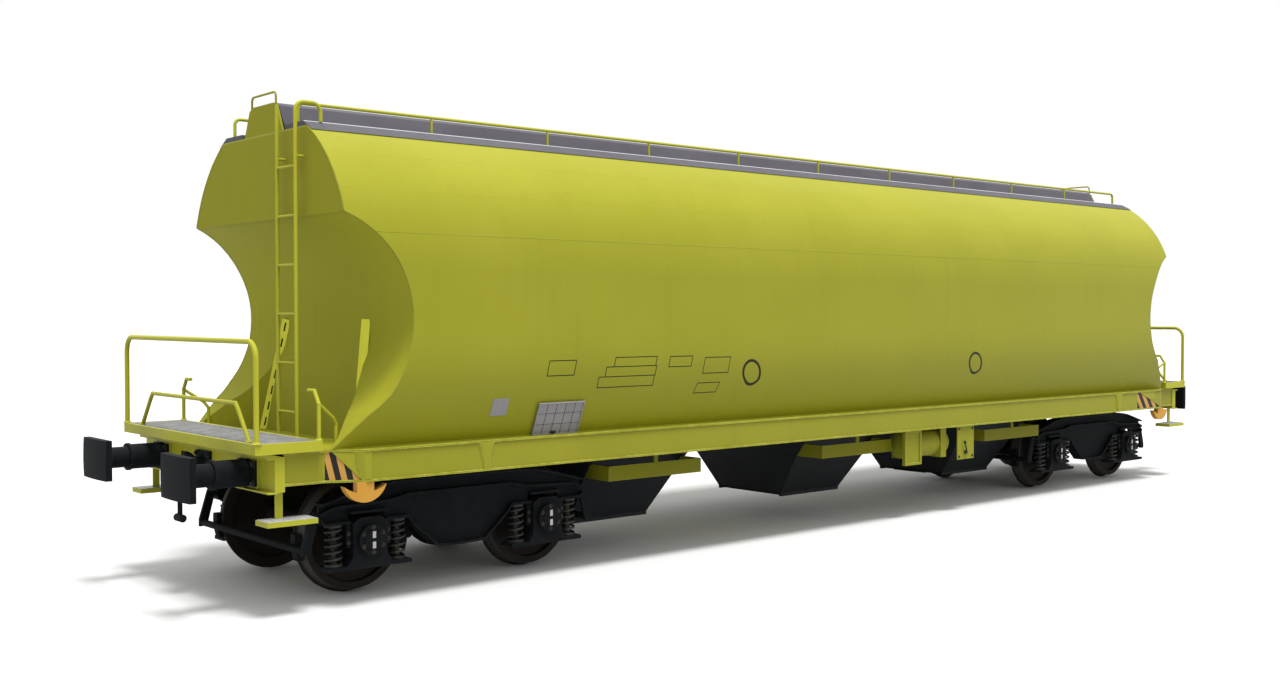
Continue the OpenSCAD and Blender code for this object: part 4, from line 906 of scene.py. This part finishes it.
kit = new_kit()
for side in BOTH:
    for reach, y, z, radius, seed in LONG_BEADS:
        points = [(-reach + 2 * reach * i / LONG_STEPS, side * y, z) for i in range(LONG_STEPS + 1)]
        sweep(kit, points, radius, BEAD_SIDES, BEAD_WAVER, seed + side)
    for end in BOTH:
        points = [(end * (end_reach(z) - END_BEAD_IN[0]), side * (half_width(z) - END_BEAD_IN[1]), z)
                  for z in END_HEIGHTS]
        sweep(kit, points, END_BEAD_R, BEAD_SIDES, BEAD_WAVER, END_BEAD_SEED + 2 * side + end)
make_piece("weld_beads", kit, body_yellow, "car_body", 60)

# %% [markdown]
# ## Bolts
# A hexagon head is a twelve-point ring whose points lie by turns on a corner and on the middle of a flat. A
# washer under it and a chamfer on top are two more rings of the same count, so a whole bolt is one skin.

# %% Bolt maker
WASHER_R, CHAMFER_R = 0.95, 0.46
WASHER_H, HEAD_H = 0.18, 0.86

def bolt(kit, place, axis, across, tall):
    stand = facing(place, axis)
    flat = math.cos(math.pi / 6)
    def ring(radius, height, hexagon=False):
        radii = [radius * (flat if hexagon and j % 2 else 1.0) for j in range(12)]
        return [stand @ Vector((r * c, r * s, height)) for r, (c, s) in zip(radii, around(12))]
    washer, corner = WASHER_R * across, across / math.sqrt(3)
    skin(kit, [ring(washer, 0.0), ring(washer, WASHER_H * tall), ring(corner, WASHER_H * tall, True),
               ring(corner, HEAD_H * tall, True), ring(CHAMFER_R * across, tall)])

# %% Bolts of the axle boxes, on the bogies
COVER_BOLT, COVER_FACE, COVER_RING = (0.022, 0.014), 1.1385, 0.1
HORN_BOLT, HORN_FACE, HORN_X, HORN_Z = (0.020, 0.013), 1.0595, 0.1825, (0.470, 0.545)

for letter, end in ENDS:
    kit = new_kit()
    for x, side in axle_boxes(end):
        for k in range(6):
            a = math.radians(30 + 60 * k)
            place = (x + COVER_RING * math.cos(a), side * COVER_FACE, AXLE_Z + COVER_RING * math.sin(a))
            bolt(kit, place, (0, side, 0), *COVER_BOLT)
        for g in BOTH:
            for z in HORN_Z:
                bolt(kit, (x + g * HORN_X, side * HORN_FACE, z), (0, side, 0), *HORN_BOLT)
    make_piece(f"bogie_bolts_{letter}", kit, bolt_steel, f"bogie_{letter}")

# %% Bolts of the buffers and draw plates, on the car
BUFFER_BOLT, BUFFER_FACE, BUFFER_Y, BUFFER_Z = (0.034, 0.022), 6.9695, 0.875, 1.088
DRAW_BOLT, DRAW_FACE, DRAW_Y = (0.030, 0.020), 6.9545, 0.115
BOLT_DY, BOLT_DZ = (-0.125, 0.125), (-0.075, 0.075)

kit = new_kit()
for end, side in CORNERS:
    for dy in BOLT_DY:
        for dz in BOLT_DZ:
            bolt(kit, (end * BUFFER_FACE, side * BUFFER_Y + dy, BUFFER_Z + dz), (end, 0, 0), *BUFFER_BOLT)
    for dz in BOLT_DZ:
        bolt(kit, (end * DRAW_FACE, side * DRAW_Y, BUFFER_Z + dz), (end, 0, 0), *DRAW_BOLT)
make_piece("end_bolts", kit, bolt_steel, "car_body")

# %% [markdown]
# ## Marks on the axle covers
# Each axle cover carries two short white dashes, one above the other, that show from afar whether the cover
# has turned. They are thin plates of paint film just proud of the cap.

# %% White dashes
DASH_Y, DASH_DZ = (1.1525, 1.1540), (-0.042, 0.042)
DASH_W, DASH_H, DASH_CHAMFER = 0.015, 0.027, 0.0005

for letter, end in ENDS:
    kit = new_kit()
    for x, side in axle_boxes(end):
        y0, y1 = span(side, *DASH_Y)
        for dz in DASH_DZ:
            z = AXLE_Z + dz
            block(kit, (x - DASH_W, y0, z - DASH_H), (x + DASH_W, y1, z + DASH_H), DASH_CHAMFER)
    make_piece(f"cover_dashes_{letter}", kit, mark_white, f"bogie_{letter}")

# %% [markdown]
# ## Plates on the side
# A grey plate leans on the flared foot of each side, ruled by thin dark wires, with a narrow frame round it.
# A small blank tag sits to the left of the one that faces the camera. Both lean with the sheet, so they are
# drawn flat and then tilted about the sill's edge.

# %% Tilted blocks
LEAN = math.atan2(BOX_Y - FOOT_Y, BELT_Z - SILL_TOP)
PLATE_FROM, PLATE_W, PLATE_H = 4.070, 0.500, 0.310
PLATE_OUT, PLATE_SEAT = 0.016, (0, -0.008, 0.004)

def on_plate(end):
    turn = Matrix.Rotation(math.pi, 4, "Z") if end > 0 else Matrix.Identity(4)
    stand = Matrix.Translation((-PLATE_FROM - PLATE_W, -FOOT_Y - PLATE_OUT, SILL_TOP))
    return turn @ stand @ Matrix.Rotation(LEAN, 4, "X") @ Matrix.Translation(PLATE_SEAT)

def tilted(kit, stand, low, high, chamfer=0.0):
    part = new_kit()
    block(part, low, high, chamfer)
    base = len(kit["points"])
    kit["points"].extend(tuple(stand @ Vector(p)) for p in part["points"])
    kit["faces"].extend(tuple(base + i for i in f) for f in part["faces"])

# %% Plate frames and wires
WIRE, WIRE_BACK, WIRE_FRONT = 0.001, -0.003, -0.005
CATCH = (0.19, -0.016, 0.016), (0.245, -0.0035, 0.036), 0.002
RIM, RIM_FRONT, RIM_CHAMFER = 0.01, -0.008, 0.0015

wires, rims = new_kit(), new_kit()
for end in BOTH:
    stand = on_plate(end)
    for i in range(1, 5):
        u = i * PLATE_W / 5
        tilted(wires, stand, (u - WIRE, WIRE_BACK, 0.0), (u + WIRE, 0.0, PLATE_H))
    for i in range(1, 3):
        v = i * PLATE_H / 3
        tilted(wires, stand, (0.0, WIRE_FRONT, v - WIRE), (PLATE_W, WIRE_BACK, v + WIRE))
    tilted(wires, stand, *CATCH)
    for u0, v0, u1, v1 in ((0, 0, PLATE_W, RIM), (0, PLATE_H - RIM, PLATE_W, PLATE_H),
                           (0, RIM, RIM, PLATE_H - RIM), (PLATE_W - RIM, RIM, PLATE_W, PLATE_H - RIM)):
        tilted(rims, stand, (u0, RIM_FRONT, v0), (u1, 0, v1), RIM_CHAMFER)
make_piece("plate_wires", wires, spring_black, "car_body")
make_piece("plate_rims", rims, plate_grey, "car_body")

# %% Side tag
TAG_X = -5.05
TAG = (0.0, -0.003, 0.215), (0.165, 0.0005, 0.375), 0.001

kit = new_kit()
tilted(kit, Matrix.Translation((TAG_X, -FOOT_Y, SILL_TOP)) @ Matrix.Rotation(LEAN, 4, "X"), *TAG)
make_piece("side_tag", kit, plate_grey, "car_body")

# %% [markdown]
# ## Corner plates and bolster caps on the sills
# Where the sill turns inwards, a folded plate covers the turn, cut off at a slant beside the stripes. Further
# along, the end of each bolster shows as a half cone under the top flange. Both are skins between outlines
# that follow the sill.

# %% Corner plates and caps
SILL_Y, WEB_IN, TURN_X, TURN_SLOPE = 1.455, 0.012, 6.220, 0.155 / 0.3
# Layers of a corner plate: how far each stands proud of the web, and its inset.
PLATE_LAYERS = ((-0.004, 0.0), (0.006, 0.0), (0.009, 0.003))
PLATE_STEPS, PLATE_DISH = 6, 0.003
OUTER_NEAR, INNER_NEAR = TURN_X - 0.03, TURN_X + 0.04
# Half cone at a bolster's end: height and radius of each ring.
CAP = ((1.020, 0.034), (1.090, 0.050), (1.170, 0.069), (1.236, 0.085), (1.2465, 0.087))
CAP_FLAT, CAP_Y, CAP_STEPS = 0.36, SILL_Y - WEB_IN - 0.004, 14

def web_y(x):
    return SILL_Y - WEB_IN - max(x - TURN_X, 0.0) * TURN_SLOPE

def corner_ring(end, side, proud, inset):
    outer = end == side
    near, (slope, start) = (OUTER_NEAR, OUTER_CUT) if outer else (INNER_NEAR, INNER_CUT)
    near += inset if outer else -inset
    ring = []
    for z, way in ((WEB_LOW + inset, 1), (WEB_HIGH - inset, -1)):
        far = slope * z + start + (-inset if outer else inset)
        for i in range(PLATE_STEPS + 1)[::way]:
            x = near + (far - near) * i / PLATE_STEPS
            dish = 0.5 * (1 - math.cos(2 * math.pi * (x - near) / (far - near)))
            ring.append((end * x, side * (web_y(x) + proud - PLATE_DISH * dish), z))
    return ring

def cap_ring(end, side, z, r):
    angles = [math.pi * j / CAP_STEPS for j in range(CAP_STEPS + 1)]
    return [(end * PIVOT + r * math.cos(a), side * (CAP_Y + CAP_FLAT * r * math.sin(a)), z) for a in angles]

kit = new_kit()
for end, side in CORNERS:
    skin(kit, [corner_ring(end, side, *layer) for layer in PLATE_LAYERS])
    skin(kit, [cap_ring(end, side, *level) for level in CAP])
make_piece("sill_plates", kit, sill_yellow, "car_body", 30)

# %% [markdown]
# ## Raised tops of the bogie frames
# Over the dip between the axles a bogie frame is deep: its web rises close under the body and falls away in a
# curve towards the arms, with a flange along the top. The raised part is a thin web and a flange carried
# along the same curve. It stays under the bolster, so that the bogie can turn.

# %% Frame crowns
FRAME_Y, CROWN_TOP, CROWN_WEB, WEB_DOWN = 1.0, 0.945, 0.015, 0.01
# Half the curve of a crown: place along the frame, top and foot.
CROWN = [(0.0, CROWN_TOP, 0.81), (0.50, CROWN_TOP, 0.81), (0.72, 0.938, 0.775), (0.86, 0.922, 0.77),
         (0.98, 0.898, 0.765), (1.10, 0.865, 0.76), (1.21, 0.835, 0.755), (1.325, 0.805, 0.715)]
FLANGE = ((-0.066, -0.020), (0.066, -0.020), (0.070, -0.016), (0.070, -0.004), (0.066, 0.0), (-0.066, 0.0),
          (-0.070, -0.004), (-0.070, -0.016))

def crown_web(top, foot):
    high = top - WEB_DOWN
    return (-CROWN_WEB, foot), (CROWN_WEB, foot), (CROWN_WEB, high), (-CROWN_WEB, high)

for letter, end in ENDS:
    kit = new_kit()
    curve = [(-x, top, foot) for x, top, foot in CROWN[:0:-1]] + CROWN
    for side in BOTH:
        skin(kit, [[(end * PIVOT + x, side * FRAME_Y + dy, z) for dy, z in crown_web(top, foot)]
                   for x, top, foot in curve])
        skin(kit, [[(end * PIVOT + x, side * FRAME_Y + dy, top + dz) for dy, dz in FLANGE]
                   for x, top, _ in curve])
    make_piece(f"frame_crowns_{letter}", kit, chassis_black, f"bogie_{letter}", 30)

# %% [markdown]
# ## Roof edges
# The outer edge of each roof walk has a nosing painted pale as a painted highlight, one long bright line. It
# is one bent strip, drawn as a section and carried along the car.

# %% Walk nosings
WALK_EDGE, WALK_TOP, WALK_SHORT = 0.7387, 3.890, 0.002
NOSING = ((-0.012, -0.001), (-0.012, 0.003), (0.001, 0.003), (0.010, -0.0015), (0.009, -0.006))

kit = new_kit()
for side in BOTH:
    skin(kit, [[(x, side * (WALK_EDGE + dy), WALK_TOP + dz) for dy, dz in NOSING]
               for x in (-END_X + WALK_SHORT, 0.0, END_X - WALK_SHORT)])
make_piece("walk_nosings", kit, nosing_highlight_pale, "car_body", 30)

# %% [markdown]
# ## Collars, lips, treads and the brake plate
# Where a tube stands on a deck or floor there is a small welded collar. The end beams have a narrow bottom
# lip, and the shunters' steps pale treads with raised bars. On the brake side a framed cover hangs in front
# of the tank's first strap, and the change-over plate has a lever.

# %% Collars under the tubes
COLLAR = [(0.040, 0.0), (0.040, 0.004), (0.030, 0.008), (0.024, 0.020), (0.022, 0.020)]
DECK_Z = 1.345
# Place along the car and across it, height, and the scale of the collar's radius and height.
CORNER_TUBES = ((7.089, 1.325, DECK_Z, 1.0, 1.0), (7.039, 1.090, DECK_Z, 0.8, 0.8),
                (6.575, 1.320, DECK_Z, 0.8, 0.8), (6.380, 1.225, SILL_TOP, 0.75, 0.8))
LADDER_TUBES = ((6.475, 0.42, SILL_TOP, 0.85, 0.8), (6.475, 0.75, SILL_TOP, 0.85, 0.8))

def collar(kit, end, side, x, y, z, wide, tall):
    turned(kit, (end * x, side * y, z), UP, [(wide * r, tall * h) for r, h in COLLAR])

kit = new_kit()
for end in BOTH:
    for side in BOTH:
        for tube in CORNER_TUBES:
            collar(kit, end, side, *tube)
    for tube in LADDER_TUBES:
        collar(kit, end, end, *tube)
make_piece("tube_collars", kit, frame_yellow, "car_body", 40)

# %% Bottom lips of the end beams
LIP_X, LIP_Y, LIP_Z, LIP_CHAMFER = (6.905, 6.985), 1.300, (0.954, 0.966), 0.002

kit = new_kit()
for end in BOTH:
    x0, x1 = span(end, *LIP_X)
    block(kit, (x0, -LIP_Y, LIP_Z[0]), (x1, LIP_Y, LIP_Z[1]), LIP_CHAMFER)
make_piece("beam_lips", kit, frame_yellow, "car_body")

# %% Treads of the steps
STEP_X, STEP_Y, STEP_Z = (6.620, 7.025), (1.175, 1.375), (0.7545, 0.7575)
CLEAT_Z, CLEAT_T, CLEAT_IN, CLEAT_FROM, CLEAT_GAPS = (0.757, 0.7605), 0.008, 0.008, 0.015, 8
CLEAT_SHORT, STEP_CHAMFER = 0.038, 0.001

kit = new_kit()
for end, side in CORNERS:
    x0, x1 = span(end, *STEP_X)
    y0, y1 = span(side, *STEP_Y)
    block(kit, (x0, y0, STEP_Z[0]), (x1, y1, STEP_Z[1]), STEP_CHAMFER)
    for i in range(CLEAT_GAPS + 1):
        x = x0 + CLEAT_FROM + i * (x1 - x0 - CLEAT_SHORT) / CLEAT_GAPS
        block(kit, (x, y0 + CLEAT_IN, CLEAT_Z[0]), (x + CLEAT_T, y1 - CLEAT_IN, CLEAT_Z[1]), STEP_CHAMFER)
make_piece("step_treads", kit, galvanised, "car_body")

# %% Brake cover
COVER = (0.600, -1.372, 0.610), (0.900, -1.346, 1.0075), 0.002
STRIP_Y, STRIP_CHAMFER = (-1.386, -1.371), 0.003
STRIPS = ((0.600, 0.610, 0.900, 0.640), (0.600, 0.975, 0.900, 1.0070), (0.600, 0.640, 0.630, 0.975),
          (0.870, 0.640, 0.900, 0.975))

kit = new_kit()
block(kit, *COVER)
for x0, z0, x1, z1 in STRIPS:
    block(kit, (x0, STRIP_Y[0], z0), (x1, STRIP_Y[1], z1), STRIP_CHAMFER)
make_piece("tank_cover", kit, gear_yellow, "car_body")

# %% Brake lever
BRAKE_FACE = -1.415
HUB_X, HUB_Z, HUB = 1.690, 0.700, [(0.024, 0.0), (0.024, 0.020), (0.018, 0.026)]
# Along the lever: place along the car, distance in front of the plate, and height.
LEVER = ((HUB_X, 0.020, HUB_Z), (1.680, 0.028, 0.730), (1.655, 0.030, 0.785), (1.645, 0.034, 0.806))
LEVER_R = 0.008
KNOB_PLACE, KNOB_AXIS = (1.645, BRAKE_FACE - 0.034, 0.800), (-0.4, -0.1, 0.9)
KNOB = [(0.008, 0.0), (0.015, 0.008), (0.015, 0.030), (0.008, 0.040)]
PANEL_X, PANEL_DX, PANEL_Z = 1.54, (0.03, 0.29), (0.650, 0.975)
PANEL_BOLT, PANEL_SEAT = (0.018, 0.011), 0.0005

kit = new_kit()
turned(kit, (HUB_X, BRAKE_FACE, HUB_Z), (0, -1, 0), HUB)
sweep(kit, [(x, BRAKE_FACE - out, z) for x, out, z in LEVER], LEVER_R, 10)
turned(kit, KNOB_PLACE, KNOB_AXIS, KNOB, 14)
for dx in PANEL_DX:
    for z in PANEL_Z:
        bolt(kit, (PANEL_X + dx, BRAKE_FACE + PANEL_SEAT, z), (0, -1, 0), *PANEL_BOLT)
make_piece("brake_lever", kit, spring_black, "car_body")
